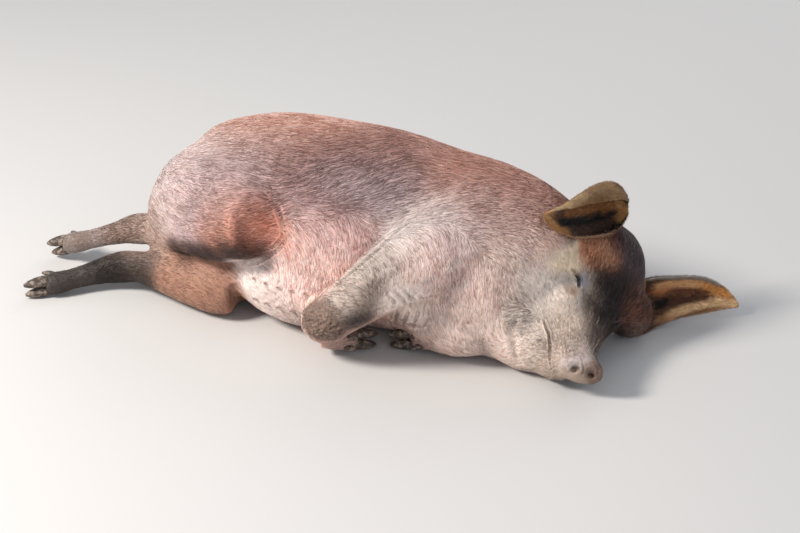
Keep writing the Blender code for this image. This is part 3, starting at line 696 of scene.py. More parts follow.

# %% [markdown]
# ## Markings, painted shade and painted light
#
# Duroc pigs are red, from pale gold to deep mahogany, and this one is dusty too.
# Some zones are painted shade in gaps, under limbs and on sides turned from the
# light, and some are painted light and sheen on lit crests and edges.
# Each zone below is a name, the places where it shows in the picture or lies on
# the hidden side, how far it reaches, the colour of its skin, the dark and the
# light colours of its hair, the share of light hairs, and the hair's length and
# width in millimetres. A point takes every zone's values, weighted by a bell of
# its distance, so zones melt into each other. Skin and coat both use this.

# %% The zones
ZONES = [
    # Salmon hair, lighter along the top of the back with painted light from above.
    ("back ridge", [(250, 124), (290, 121), (330, 126)], 40,
     "#c89583 #a06a58 #e8c8ba", 0.48, 26, 0.85),
    ("back crest", [(372, 136), (420, 143), (400, 150)], 30,
     "#a5786b #744d41 #c9a294", 0.42, 26, 0.85),
    ("loin", [(300, 156), (345, 158), (385, 160)], 34, "#86605a #573a35 #ac8580", 0.36, 26, 0.85),
    ("grey loin", [(362, 182), (335, 182), (395, 174)], 28,
     "#a59291 #766463 #cdbdbf", 0.44, 25, 0.85),
    ("hip", [(250, 155), (225, 165)], 36, "#b19792 #866762 #d6bebb", 0.47, 25, 0.85),
    # Painted sheen: pale, near white hair where the light catches the rump edge.
    ("rump edge", [(163, 195), (180, 170), (208, 145)], 34,
     "#ccb2ab #a88b80 #fbeeea", 0.70, 24, 0.78),
    ("rump", [(212, 182), (190, 205)], 34, "#b89a98 #947574 #dcc6c3", 0.52, 24, 0.85),
    ("thigh", [(212, 212), (232, 206)], 26, "#b98a7e #8d5f50 #d8b2a4", 0.45, 22, 0.78),
    ("thigh low", [(232, 236), (212, 238), (240, 222)], 17,
     "#b0745e #7e4a36 #d2a08a", 0.43, 20, 0.78),
    ("thigh front", [(262, 220), (266, 236), (252, 228)], 17,
     "#d0846a #9e5a44 #f2bea6", 0.48, 20, 0.70),
    # Red-brown hair, darkened with painted shade on the edge of the thigh that turns from the
    # light.
    ("thigh edge", [(277, 222), (280, 236), (276, 246)], 9,
     "#8f4534 #5f2a1c #b5705a", 0.35, 14, 0.70),
    # Painted shade: near black under the thigh, in the gap between the hind legs.
    ("thigh under", [(240, 252), (226, 251), (210, 254), (195, 254), (180, 252), (258, 254)] * 4,
     11, "#2f150c #160804 #5a3628", 0.20, 16, 0.70),
    ("thigh back", [(150, 225), (143, 238)], 26, "#a98c7e #7d6052 #d8c3b6", 0.50, 20, 0.78),
    ("flank", [(310, 214), (335, 232), (320, 240)], 30, "#cda49d #a3776f #ead2cd", 0.52, 23, 0.78),
    ("high flank", [(300, 195), (320, 198), (350, 205)], 22,
     "#87635f #60413d #a88885", 0.38, 24, 0.85),
    # Pink skin and hair, lighter with painted light on the ridge beside the flank fold.
    ("flank fold", [(287, 238), (286, 226), (290, 250)], 9,
     "#dc9c82 #b87a60 #f2c4b0", 0.55, 16, 0.70),
    ("pink belly", [(292, 268), (312, 270), (300, 290), (322, 262)], 28,
     "#f0cabd #d69c90 #fff2ea", 0.66, 22, 0.78),
    ("pale groin", [(252, 275), (254, 283), (264, 292), (278, 298)], 18,
     "#ecdad2 #c4aaa0 #fbf3ed", 0.52, 10, 0.50),
    ("low belly", [(285, 308), (300, 318), (272, 300)] * 2, 13,
     "#cdb8ae #a8958b #e2d4cb", 0.50, 14, 0.62),
    # Painted sheen: near white hair along the crest of the shoulder and arm.
    ("shoulder crest", [(420, 228), (402, 240), (442, 216)], 24,
     "#d2c0b8 #a8948a #fdf6f1", 0.74, 24, 0.78),
    ("shoulder", [(450, 228), (462, 240)], 26, "#bda9a6 #8f7a77 #e0d4d1", 0.55, 24, 0.78),
    ("upper arm", [(388, 256), (374, 270)], 22, "#ab9a90 #7d6a5b #dcd0c7", 0.60, 20, 0.78),
    ("forearm", [(352, 287), (338, 296)], 18, "#bba89c #75604f #f4ebe3", 0.55, 15, 0.70),
    # Painted shade on the lower side of the forearm.
    ("forearm under", [(368, 296), (374, 288), (362, 306)], 9,
     "#5d4c40 #30241c #917e6f", 0.32, 12, 0.62),
    # Painted shade in the gap between the folded knee and the chest.
    ("behind the knee", [(352, 324), (360, 318), (356, 332)], 10,
     "#2f2622 #191210 #5d4f47", 0.25, 8, 0.62),
    ("neck top", [(505, 176), (470, 166), (532, 190)], 34,
     "#ab7a69 #83533f #cfa698", 0.40, 25, 0.78),
    ("neck side", [(500, 215), (475, 205), (525, 228)], 34,
     "#b8958b #8d6c62 #dac0b7", 0.48, 24, 0.85),
    ("neck low", [(470, 285), (452, 272), (440, 262)], 34,
     "#e4c4b8 #bd9384 #faeae2", 0.56, 22, 0.78),
    ("throat", [(470, 328), (452, 335), (492, 348)], 28,
     "#ecd2c5 #c5a292 #fbefe6", 0.54, 20, 0.70),
    ("jowl", [(498, 268), (508, 252)], 26, "#c8b0a3 #9c8475 #ecdfd4", 0.54, 18, 0.70),
    ("bristle fan", [(520, 305), (526, 314), (516, 322)], 12,
     "#d0bcae #1f1613 #f6ebe0", 0.56, 17, 0.62),
    ("cheek", [(542, 290), (538, 275), (532, 345), (558, 303)], 20,
     "#f4e2d2 #c9b29f #fffbf3", 0.66, 10, 0.50),
    ("temple", [(552, 248), (562, 244), (545, 258)], 13,
     "#e0bcaa #b8907c #f6e2d4", 0.54, 10, 0.55),
    ("lid", [(565, 277), (562, 270), (568, 283)], 7, "#c6b8a9 #655a4e #ede6dd", 0.56, 4, 0.40),
    ("lid grey", [(583, 276), (584, 284)], 5.0, "#aaa4ae #7b7684 #d2ced8", 0.60, 3, 0.38),
    ("lid edge", [(590, 276), (588, 290), (583, 267)], 6,
     "#d0bda8 #a08a74 #efe3d3", 0.60, 4, 0.40),
    # A cream brow, made paler still with painted light against the shadow of the ear.
    ("brow", [(568, 261), (560, 262), (575, 259)] * 6, 9,
     "#ffe6c4 #efcda4 #fff6e4", 0.84, 7, 0.50),
    ("tear stain", [(570, 289), (574, 293)], 5, "#8f6238 #5d3a1c #b58a5a", 0.40, 5, 0.40),
    # Painted shade in the slit between the lids.
    ("eye slit", [(576, 276), (578, 283), (574, 271), (578, 279)] * 2, 2.4,
     "#131318 #07070b #2b2c38", 0.20, 3, 0.38),
    ("bridge", [(588, 318), (590, 335), (590, 303)], 10, "#74604f #2f231b #a89686", 0.38, 8, 0.45),
    # Dark streaks of hair, and painted shade where the face turns away from the light.
    ("bridge edge", [(596, 292), (597, 310), (597, 330), (595, 345)], 9,
     "#55443b #231814 #a79689", 0.30, 9, 0.48),
    ("nose side", [(566, 308), (572, 322), (562, 335)], 16,
     "#c7b1a0 #9a8471 #eaded1", 0.56, 7, 0.48),
    ("muzzle", [(566, 347), (576, 347), (556, 355)], 14, "#bfab9e #948071 #ddd2c9", 0.56, 5, 0.42),
    ("disc rim", [(567, 361), (575, 359), (583, 358)], 6,
     "#b8aaa5 #8b7e7b #d8cfcb", 0.50, 2.5, 0.38),
    # Painted shade in the openings of the nostrils.
    ("nostrils", [(575, 368), (591, 373.5)] * 3, 2.6, "#1d1412 #0d0807 #3a2c28", 0.20, 2.5, 0.38),
    ("disc", [(592, 368), (596, 375), (588, 378)], 7, "#7d6555 #4a392f #a58f7d", 0.40, 2.5, 0.38),
    ("disc low", [(575, 376), (567, 374), (582, 380)], 6,
     "#b09a88 #80695a #cdbcae", 0.40, 2.5, 0.38),
    ("chin", [(544, 350), (548, 366)], 14, "#bba594 #8b7460 #dccfc2", 0.50, 8, 0.62),
    # Red-brown hair, made lighter with painted light against the shadow of the ear.
    ("forehead", [(590, 248), (600, 250), (606, 260), (588, 258)] * 2, 11,
     "#e8a077 #a86440 #ffd2ac", 0.52, 13, 0.55),
    ("under the ear", [(588, 236), (602, 235), (574, 236)], 6,
     "#5d4436 #34241b #9a7c66", 0.40, 10, 0.62),
    # Painted shade on the side of the forehead turned away from the light.
    ("dark forehead", [(606, 276), (608, 292), (622, 290), (602, 268)], 15,
     "#22120d #0d0504 #4c2f24", 0.22, 14, 0.62),
    # Dark purple-brown hair, with painted shade on the side turned away from the light.
    ("crown", [(626, 246), (632, 258), (638, 270)], 16, "#4e3738 #2a1a1a #745a58", 0.32, 16, 0.62),
    ("brow to crown", [(613, 255), (615, 244)], 10, "#7a4530 #451f12 #ac745a", 0.36, 15, 0.62),
    # Painted shade on the cheek that turns away from the light.
    ("shaded cheek", [(608, 322), (616, 306), (606, 340)], 17,
     "#1f1817 #0b0707 #565050", 0.22, 9, 0.55),
    ("ear root hair", [(630, 300), (645, 296), (628, 310)], 13,
     "#6a3c28 #32170d #a5684a", 0.34, 18, 0.70),
    ("shin left", [(195, 280), (216, 290), (175, 272)], 22,
     "#a0745f #74503e #cba38b", 0.44, 13, 0.62),
    ("hock left", [(122, 266), (140, 266), (108, 268)], 17,
     "#1f160f #0e0805 #42331f", 0.20, 11, 0.62),
    ("foot left", [(85, 272), (58, 282)], 22, "#453c37 #2c2521 #62574f", 0.32, 6, 0.50),
    ("foot right", [(82, 238), (62, 243)], 24, "#9c8c85 #766862 #c0b4ac", 0.38, 6, 0.50),
    ("hock right", [(112, 234), (128, 228)], 20, "#93796d #5f493d #b9a294", 0.40, 11, 0.70),
    # Pale skin, made paler with painted light against the shadow of the arm.
    ("armpit", [(408, 302), (412, 316), (400, 310)] * 3, 16,
     "#f8e6d9 #cfb4a4 #fffaf4", 0.62, 12, 0.55),
    ("knee", [(322, 322), (312, 318)], 16, "#7a6052 #48352b #98806f", 0.30, 6, 0.62),
    ("spine side", [(-0.3, 0.19, 0.16), (0.0, 0.20, 0.15), (0.18, 0.2, 0.14)], 60,
     "#a8715f #7c4a3a #c99b8b", 0.40, 25, 0.85),
    ("under flank", [(-0.3, 0.14, 0.03), (0.0, 0.16, 0.02), (0.2, 0.15, 0.02)], 50,
     "#b58a7c #8a6051 #d6b3a5", 0.45, 22, 0.78),
    ("rear", [(-0.40, 0.08, 0.17), (-0.38, 0.06, 0.08)], 34,
     "#a37464 #754a3b #cda392", 0.45, 16, 0.78),
    ("chest front", [(0.12, -0.10, 0.05), (0.05, -0.12, 0.06)], 34,
     "#cfa797 #a27d6d #e8d3c7", 0.50, 16, 0.78),
    ("far cheek", [(0.46, 0.04, 0.03), (0.44, 0.0, 0.03)], 30,
     "#6d5247 #3d2a22 #99806f", 0.36, 10, 0.70),
]
print("zones:", len(ZONES))

# %% Mix the zones
ZONE_FLOOR = 1e-9          # lets the nearest zone decide where none reaches
ZONE_SOFT = 1.15           # reach of a zone's bell, against the table
MM = 0.001


def spot_of(where):
    """A place given in space stays; one given in the picture is found on the skin."""
    return np.array(where) if len(where) == 3 else seen_at(*where)[0]


def coat_row(colours, light, length, width):
    """Three colours, the share of light hairs, and their length and width in metres."""
    return np.concatenate([*(linear(c) for c in colours.split()),
                           [light, length * MM, width * MM]])


def zone_values(points):
    """Rows of skin, dark and light colour, light share, length and width for each point."""
    total = np.zeros((len(points), 12))
    weight = np.zeros(len(points))
    for _, places, reach, *values in ZONES:
        row = coat_row(*values)
        for where in places:
            gap = ((points - spot_of(where)) ** 2).sum(axis=1)
            share = np.exp(-gap / (2 * (reach * MM * ZONE_SOFT) ** 2)) + ZONE_FLOOR / (gap + 1e-4)
            total += share[:, None] * row
            weight += share
    return total / weight[:, None]

# %% [markdown]
# ### Ears
#
# An ear is a cup: nearly black at the bottom with painted shade, orange brown
# towards the tip with painted light where the light gets in, tan along the thin rim
# and on its back. A line runs through the middle of each cup from the root to the
# tip. Skin whose normal looks to that line is inside the cup, and skin that looks
# away from it is the back.

# %% Ear colours
EAR_LINES = {
    "right": np.array([(0.405, 0.178, 0.238), (0.389, 0.153, 0.243), (0.369, 0.092, 0.255),
                       (0.346, 0.028, 0.266), (0.330, -0.008, 0.284)]),
    "left": np.array([(0.426, 0.160, 0.047), (0.458, 0.211, 0.047), (0.504, 0.261, 0.047),
                      (0.552, 0.295, 0.040), (0.579, 0.309, 0.026)])}


# The same numbers as a zone's, at the root and at the tip of cup and back. The
# cup is near black at its root with painted shade and warm at its tip with painted light.
EAR_ROWS = {
    "right": {"cup": (coat_row("#25140d #0d0604 #54331f", 0.22, 9, 0.5),
                      coat_row("#6b4529 #321b0f #98704c", 0.30, 7, 0.5)),
              "back": (coat_row("#93694c #5c3f2b #c4a488", 0.50, 9, 0.5),
                       coat_row("#a97f5a #70492c #dcbd9b", 0.50, 7, 0.5))},
    "left": {"cup": (coat_row("#3c2015 #170b07 #6e4126", 0.25, 13, 0.6),
                     coat_row("#c08a58 #85522a #ecc396", 0.50, 8, 0.5)),
             "back": (coat_row("#6d4630 #40261a #a57c5d", 0.40, 9, 0.5),
                      coat_row("#a5754c #70492c #d8b088", 0.50, 7, 0.5))}}
EAR_RIM_ROW = coat_row("#a8846a #77563d #e0c4a6", 0.55, 6, 0.45)

# Where the picture shows more: bands of lit and shaded hair that run along each ear
EAR_BANDS = {
    "right": [("#a08058", (596, 190), (610, 185), (623, 195)),
              ("#b4966e", (586, 197), (572, 205), (557, 211)),
              ("#d09a66", (551, 212), (546, 217), (551, 222)),
              ("#8a643a", (606, 199), (590, 203), (576, 207)),
              ("#9a7750", (612, 197), (624, 199)),
              ("#9a6436", (568, 213), (580, 211), (592, 208), (603, 205)),
              ("#a86c38", (604, 211), (612, 206)),
              ("#0b0604", (562, 223), (575, 222), (590, 219), (602, 216), (611, 212)),
              ("#c89258", (619, 203), (625, 212), (620, 218)),
              ("#4e3526", (572, 230), (590, 228), (606, 224), (615, 220)),
              ("#cc9258", (551, 223), (559, 229), (568, 233))],
    "left": [("#a89c8e", (650, 278), (675, 276), (700, 277), (716, 282)),
             ("#ffc48c", (656, 287), (666, 284), (682, 283), (698, 284)),
             ("#e8a058", (700, 284), (714, 289), (726, 295)),
             ("#d88a55", (643, 299), (654, 292), (664, 288)),
             ("#7a4a26", (668, 296), (680, 292), (695, 292), (708, 295)),
             ("#120a06", (645, 313), (655, 306), (664, 300)),
             ("#5a341c", (668, 304), (680, 300), (694, 298), (706, 298)),
             ("#ffd09a", (670, 315), (686, 309), (702, 304), (720, 301), (731, 303)),
             ("#d8a270", (658, 322), (668, 318))]}
print("bands of hair on the ears:", sum(len(bands) for bands in EAR_BANDS.values()))

# %% Mix in the ears
BAND_REACH = 0.0058
BAND_FLOOR = 0.02
BAND_DARK, BAND_LIGHT = 0.82, 1.45


def with_bands(points, normals, rows, bands):
    """Mix in the bands near each point that lie on the same face of the ear."""
    total = np.zeros((len(points), 9))
    weight = np.full(len(points), BAND_FLOOR)
    for colour, *stops in bands:
        tone = linear(colour)
        facing = seen_at(*stops[len(stops) // 2])[1]
        gap, _ = reach_of(points, seen_line(*stops))
        share = hump(gap, BAND_REACH) * np.clip(normals @ facing * 2, 0, 1)
        total += share[:, None] * np.concatenate([tone, tone * BAND_DARK, tone * BAND_LIGHT])
        weight += share
    mixed = np.clip(weight[:, None] * 4, 0, 1)
    made = rows.copy()
    made[:, 0:9] = rows[:, 0:9] * (1 - mixed) + total / weight[:, None] * mixed
    return made


def line_place(line, share):
    """The place that lies at a share of a line's length."""
    lengths = np.linalg.norm(np.diff(line, axis=0), axis=1)
    stops = np.concatenate([[0], np.cumsum(lengths)]) / lengths.sum()
    return np.stack([np.interp(share, stops, line[:, axis]) for axis in range(3)], 1)


def share_of_ear(points, side):
    """1 on the ear's own solid, and falling to 0 a few millimetres away from it."""
    near = box_share(points, "ear_" + side, 0.010) > 0
    tree = BVHTree.FromPolygons(*(part.tolist() for part in arrays_of(nodes["ear_" + side].data)))
    share = np.zeros(len(points))
    gaps = [tree.find_nearest(Vector(point))[3] for point in points[near]]
    share[near] = falling(np.array(gaps), 0.0040)
    return share


def with_ears(points, normals, rows):
    """On the ears, a mix of cup, back and rim, with the bands, takes the zones' place."""
    rows = rows.copy()
    for side, line in EAR_LINES.items():
        _, share = reach_of(points, line)
        away = points - line_place(line, share)
        outward = (unit(away) * normals).sum(axis=1)[:, None]
        cup, back = np.clip(-outward * 3 - 0.3, 0, 1), np.clip(outward * 3 - 0.3, 0, 1)
        share = np.clip(share * 1.2 - 0.1, 0, 1)[:, None]
        ear = EAR_RIM_ROW * (1 - cup - back)
        for part, weight in (("cup", cup), ("back", back)):
            root_row, tip_row = EAR_ROWS[side][part]
            ear = ear + weight * (root_row * (1 - share) + tip_row * share)
        ear = with_bands(points, normals, ear, EAR_BANDS[side])
        inside = share_of_ear(points, side)[:, None]
        rows = rows * (1 - inside) + ear * inside
    return rows


skin_rows = with_ears(skin_points, skin_normals, zone_values(skin_points))

# %% [markdown]
# ## The lie of the coat
#
# Bristles all point backwards: from the nose over the face and the neck, along
# the trunk, and out along the legs. Where a limb pulls the skin they bend, and
# on the flank they rise from the belly and turn back. Each guide is a place and
# the way that the hair lies there, drawn on the picture or given in space for
# the hidden side, and a point takes a mix of the guides near it.

# %% Guides for the coat
DRAWN_GUIDES = [
    (570, 347, 0.1, -1), (583, 322, 0.1, -1), (595, 296, 0.2, -1), (610, 276, 0.4, -0.9),
    (627, 256, 0.2, -1), (560, 322, -0.1, -1), (546, 300, -0.35, -0.95), (541, 280, -0.45, -0.9),
    (528, 290, -0.55, -0.85), (560, 254, -0.5, -0.8), (546, 248, -0.75, -0.6),
    (576, 250, -0.2, -1), (592, 248, 0.1, -1), (524, 318, -1, 0.25), (517, 350, -0.8, 0.55),
    (536, 345, -0.7, -0.2), (546, 364, -0.8, 0.1), (500, 330, -0.15, -1), (490, 300, 0, -1),
    (475, 280, 0, -1), (506, 282, -0.15, -1), (450, 275, -0.15, -1), (449, 250, -0.35, -0.95),
    (470, 262, -0.1, -1), (500, 252, -0.9, -0.4), (520, 235, -1, -0.2), (490, 235, -1, -0.15),
    (536, 215, -1, -0.2), (520, 200, -1, -0.15), (480, 200, -1, 0.0), (540, 192, -1, -0.4),
    (500, 170, -1, -0.28), (450, 190, -1, 0.2), (450, 160, -1, -0.25), (440, 215, -1, 0.25),
    (410, 222, -1, 0.45), (432, 240, -0.8, -0.5), (441, 252, -0.3, -1), (378, 257, -1, -0.5),
    (350, 288, -1, -0.25), (337, 294, -1, -0.3), (392, 288, 0.15, -1), (386, 277, -0.5, -0.8),
    (402, 299, 0.35, -0.93), (413, 290, 0, -1), (427, 300, -0.05, -1), (440, 330, -0.2, -1),
    (420, 330, 0.5, -0.8), (470, 345, -0.3, -0.95), (300, 280, 0.05, -1), (302, 300, 0, -1),
    (330, 262, 0, -1), (344, 256, 0.05, -1), (325, 236, -0.5, -0.85), (345, 232, -0.35, -0.9),
    (305, 235, -0.6, -0.8), (310, 221, -1, -0.05), (340, 215, -1, 0.2), (352, 190, -1, 0.45),
    (382, 172, -1, 0.4), (330, 176, -1, 0.4), (303, 190, -1, 0.3), (288, 208, -0.9, 0.4),
    (275, 160, -1, -0.25), (246, 172, -1, -0.35), (300, 150, -1, -0.05), (350, 146, -1, 0.1),
    (402, 150, -1, 0.15), (400, 132, -1, -0.2), (350, 125, -1, -0.05), (300, 123, -1, 0.02),
    (250, 127, -1, 0.15), (215, 150, -1, 0.05), (180, 172, -1, 0.0), (167, 187, -0.9, -0.4),
    (160, 206, -0.55, -0.83), (155, 225, -0.6, -0.8), (183, 196, -0.8, -0.6),
    (202, 206, -0.95, -0.3), (230, 215, -1, -0.05), (262, 215, -1, 0.1), (255, 232, -1, 0.2),
    (190, 235, -1, -0.25), (168, 230, -0.65, -0.75), (212, 240, -1, -0.1),
    (255, 282, -0.7, -0.6), (216, 284, -0.7, -0.6), (190, 279, -1, -0.2), (160, 268, -1, -0.25),
    (130, 263, -1, 0), (95, 268, -1, 0.35), (128, 234, -1, 0.1), (100, 235, -1, 0.25),
    (75, 242, -1, 0.15), (640, 265, 0.2, -1), (612, 318, 0.3, -1),
]
SPACE_GUIDES = [
    ((0.20, 0.20, 0.17), (-1, 0, 0)), ((0.0, 0.20, 0.17), (-1, 0, 0)),
    ((-0.2, 0.19, 0.17), (-1, 0, 0)), ((0.10, 0.18, 0.05), (-1, 0, 0)),
    ((-0.10, 0.18, 0.05), (-1, 0, 0)), ((0.30, 0.19, 0.14), (-1, 0.2, 0)),
    ((-0.38, 0.10, 0.16), (-0.5, 0, -1)), ((-0.36, 0.12, 0.08), (-0.4, 0, -1)),
    ((-0.10, -0.15, 0.04), (-0.8, 0, 0.6)), ((0.05, -0.13, 0.05), (-0.8, 0, 0.6)),
    ((0.18, -0.10, 0.05), (-0.8, 0.3, 0.5)), ((0.46, 0.02, 0.04), (0, 1, 0.1)),
    ((0.45, 0.12, 0.05), (-0.3, 1, 0)), ((0.40, 0.20, 0.14), (-0.9, 0.4, 0)),
    ((-0.25, 0.16, 0.04), (-1, 0, 0)), ((-0.43, 0.14, 0.14), (0, 0.3, -1)),
    ((-0.39, 0.17, 0.07), (0.9, 0, -0.5)), ((-0.40, -0.07, 0.10), (-1, 0, -0.3)),
    ((-0.52, -0.06, 0.07), (-1, 0, -0.3)), ((0.03, -0.13, 0.03), (1, 0.5, 0)),
    ((0.15, -0.06, 0.03), (-1, 0, 0)),
]
print("guides:", len(DRAWN_GUIDES) + len(SPACE_GUIDES), "and the lines of the ears")

# %% The lie of the coat
GUIDE_SOFT = 0.012         # how near a guide stops gaining on its neighbours
DRAW_STEP = 6.0            # length of a drawn guide, in pixels


def guides():
    """The places of all the guides, and their ways in space."""
    made = []
    for px, py, dx, dy in DRAWN_GUIDES:
        start, normal = seen_at(px, py)
        way = np.array(sight_line(px + dx * DRAW_STEP, py + dy * DRAW_STEP))
        facing = way @ normal
        if abs(facing) < 0.08:
            facing = -0.08
        there = view_from + way * (((start - view_from) @ normal) / facing)
        made.append((start, there - start))
    made += SPACE_GUIDES
    for line in EAR_LINES.values():
        made += [((start + end) / 2, end - start) for start, end in zip(line, line[1:])]
    places, ways = np.array(made).swapaxes(0, 1)
    return places, unit(ways)


def lie_at(points, normals):
    """The mean of the guides' ways, weighted by one over the distance to the power four."""
    places, ways = guides()
    total = np.zeros_like(points)
    for start, way in zip(places, ways):
        gap = ((points - start) ** 2).sum(axis=1)
        total += way / ((gap + GUIDE_SOFT ** 2) ** 2)[:, None] * 1e-8
    total -= normals * (total * normals).sum(axis=1)[:, None]
    return unit(total)


skin_lie = lie_at(skin_points, skin_normals)

# %% [markdown]
# ## The skin as a piece
#
# The zones go to the mesh as two colours that the nodes can read: the tint of
# the skin, darkened by painted shade in the folds, and in a second layer how muddy
# and how bare it is. The skin is also unwrapped here, because every tuft of the coat
# takes its place on the map from the triangle that it grows on.

# %% Mud, painted shade of the folds, and bare skin
DEEP_FOLD = 0.0030         # depth from which a fold is as dark as it gets
FOLD_SHADE = 0.66          # how much of the colour the deepest fold loses
FIRST_TEAT, TEAT_STEP, TEAT_HEIGHTS = -0.150, 0.026, (0.074, 0.112)
TEAT_REACH = 0.0058        # bare skin round a teat
TEAT_TIP = 0.0045          # the teat itself, which is greyer
DISC_BARE, LIDS_BARE, LIPS_BARE = 0.026, 0.0060, 0.0035

belly_tree = BVHTree.FromPolygons(skin_points.tolist(), skin_triangles.tolist())
TEATS = [tuple(belly_tree.ray_cast(Vector((FIRST_TEAT + TEAT_STEP * k, -0.6, height)),
                                   Vector((0, 1, 0)))[0])
         for k in range(5) for height in TEAT_HEIGHTS]
print("teats at", [tuple(round(v, 3) for v in spot) for spot in TEATS])


def bell(points, spots, reach):
    """1 at any of the spots, falling off like a bell with the distance over reach."""
    return hump(gap_to(points, *(spot_of(where) for where in spots)), reach)


# Places, reach and share of the mud: caked on the knee, thin on a hind foot, and dust
MUD = [([(318, 330), (310, 316), (330, 333), (324, 314)], 0.026, 1.3),
       ([(80, 240), (60, 243)], 0.040, 0.55),
       ([(572, 355), (560, 340), (545, 345), (575, 335), (345, 292), (480, 345), (525, 330),
         (-0.25, 0.17, 0.10), (0.05, 0.21, 0.07), (0.22, 0.19, 0.10)], 0.034, 0.36)]
MUD_HEIGHT = 0.020         # what lies lower than this is dirty from below


def mud_at(points):
    """How much mud sticks to a point: a cake on the knee, less on feet, nose and below."""
    most = falling(points[:, 2], MUD_HEIGHT, 1) * 0.5
    for spots, reach, share in MUD:
        most = np.maximum(most, share * bell(points, spots, reach))
    return np.clip(most, 0, 1)


def painted_fold_shade(points):
    """How much painted shade the folds give a point, from 0 to 1: the folds' bells, the deepest
    counts.
    """
    deep = np.zeros(len(points))
    for line, width, depth, ends in creases:
        some = near_line(points, line, width * 3)
        gap, share = reach_of(points[some], line)
        dip = hump(gap, width) * soft_ends(share, ends) * min(depth / DEEP_FOLD, 1)
        deep[some] = np.maximum(deep[some], dip)
    return deep


def bare_at(points):
    """Where no hair grows: the disc of the nose, the lids, the lips and the teats."""
    disc = falling(gap_to(points, DISC_MID), DISC_BARE)
    lids = falling(line_gap(points, slits), LIDS_BARE)
    lips = falling(line_gap(points, MOUTHS), LIPS_BARE, 1.2)
    return np.max([disc, lids, lips, bell(points, TEATS, TEAT_REACH)], axis=0)


def colour_layer(mesh, name, rgb):
    """Three numbers for each point, which a material can read by the layer's name."""
    layer = mesh.color_attributes.new(name, "FLOAT_COLOR", "POINT")
    values = np.concatenate([rgb, np.ones((len(rgb), 1))], axis=1)
    layer.data.foreach_set("color", values.astype(np.float32).ravel())

# %% Build and unwrap the skin
skin_mesh = mesh_from("skin", skin_points, skin_triangles)
skin_mud, skin_bare = mud_at(skin_points), bare_at(skin_points)
# Painted shade: the colours of skin and coat darken in the folds.
skin_rows[:, 0:9] *= (1 - FOLD_SHADE * painted_fold_shade(skin_points))[:, None]
on_teat = bell(skin_points, TEATS, TEAT_TIP)[:, None]
skin_rows[:, 0:3] = skin_rows[:, 0:3] * (1 - on_teat) + linear("#9c7f78") * on_teat
colour_layer(skin_mesh, "skin_tint", skin_rows[:, 0:3])
colour_layer(skin_mesh, "skin_masks", np.stack([skin_mud, skin_bare, 0 * skin_mud], 1))
skin = place("skin", skin_mesh)

UNWRAP_ANGLE = math.radians(66)
bpy.context.view_layer.objects.active = skin
skin.select_set(True)
bpy.ops.object.mode_set(mode="EDIT")
bpy.ops.mesh.select_all(action="SELECT")
bpy.ops.uv.smart_project(angle_limit=UNWRAP_ANGLE, island_margin=0.001)
bpy.ops.object.mode_set(mode="OBJECT")
skin_mesh = skin.data
skin_mesh.uv_layers[0].name = "OFBake"
skin_uv = np.empty(len(skin_mesh.loops) * 2, np.float32)
skin_mesh.uv_layers[0].data.foreach_get("uv", skin_uv)
skin_uv = skin_uv.reshape(-1, 3, 2)
print("the unwrap spans", skin_uv.min().round(3), "to", skin_uv.max().round(3))

# %% [markdown]
# ## The coat
#
# Each tuft is a thin closed blade of eight triangles: an edge under the skin, a
# wider middle with a ridge, and a point. It starts on a triangle of the skin that
# is drawn by its area and density. Its middle and its tip are set back on the skin
# along the lie of the coat, so it stays flat over every curve. Real bristles
# differ, so the length, the way and the tone of each one are drawn too.

# %% Where the tufts grow
TUFTS = 186000
MORE_ON_FACE, MORE_ON_FEET, MORE_ON_EARS = 1.9, 1.0, 1.2
LAIN_ON, LAIN_ON_SHARE = 0.006, 0.12       # few tufts on what the pig lies on
BARE_LACK, CAKED_LACK = 0.96, 0.93         # and few on bare skin and under mud
rng = np.random.default_rng(20)
corner = skin_points[skin_triangles]
areas = np.linalg.norm(np.cross(corner[:, 1] - corner[:, 0], corner[:, 2] - corner[:, 0]),
                       axis=1)
middles = corner.mean(axis=1)
face_share, feet_share, ear_share = thinness(middles)
density = 1 + MORE_ON_FACE * face_share + MORE_ON_FEET * feet_share + MORE_ON_EARS * ear_share
density *= np.where(middles[:, 2] < LAIN_ON, LAIN_ON_SHARE, 1.0)
density *= 1 - BARE_LACK * skin_bare[skin_triangles].mean(axis=1)
caked = np.clip(skin_mud[skin_triangles].mean(axis=1) * 1.5 - 0.5, 0, 1)
density *= 1 - CAKED_LACK * caked
chance = areas * density
chance /= chance.sum()
hosts = np.sort(rng.choice(len(skin_triangles), size=TUFTS, p=chance))
share = rng.random((TUFTS, 2))
flip = share.sum(axis=1) > 1
share[flip] = 1 - share[flip]
weights = np.stack([1 - share.sum(axis=1), share[:, 0], share[:, 1]], 1)


def on_hosts(values):
    """Mix the values of each tuft's three corners."""
    return (values[skin_triangles[hosts]] * weights[:, :, None]).sum(axis=1)


roots = on_hosts(skin_points)
root_normals = unit(on_hosts(skin_normals))
root_rows = on_hosts(skin_rows)
root_lie = on_hosts(skin_lie)
root_uv = (skin_uv[hosts] * weights[:, :, None]).sum(axis=1)
root_mud = on_hosts(skin_mud[:, None])[:, 0]

# %% The way and the length of each tuft
SPREAD = math.radians(5)                   # each tuft on its own
LOCK_SPREAD = math.radians(6)              # whole locks together
LOCK_SIZE = 0.030
EAR_FRINGE = 0.30
turn = rng.normal(size=TUFTS) * SPREAD + waves(roots, LOCK_SIZE, 3) * LOCK_SPREAD
side_way = np.cross(root_normals, root_lie)
way = root_lie * np.cos(turn)[:, None] + side_way * np.sin(turn)[:, None]
way = unit(way - root_normals * (way * root_normals).sum(axis=1)[:, None])

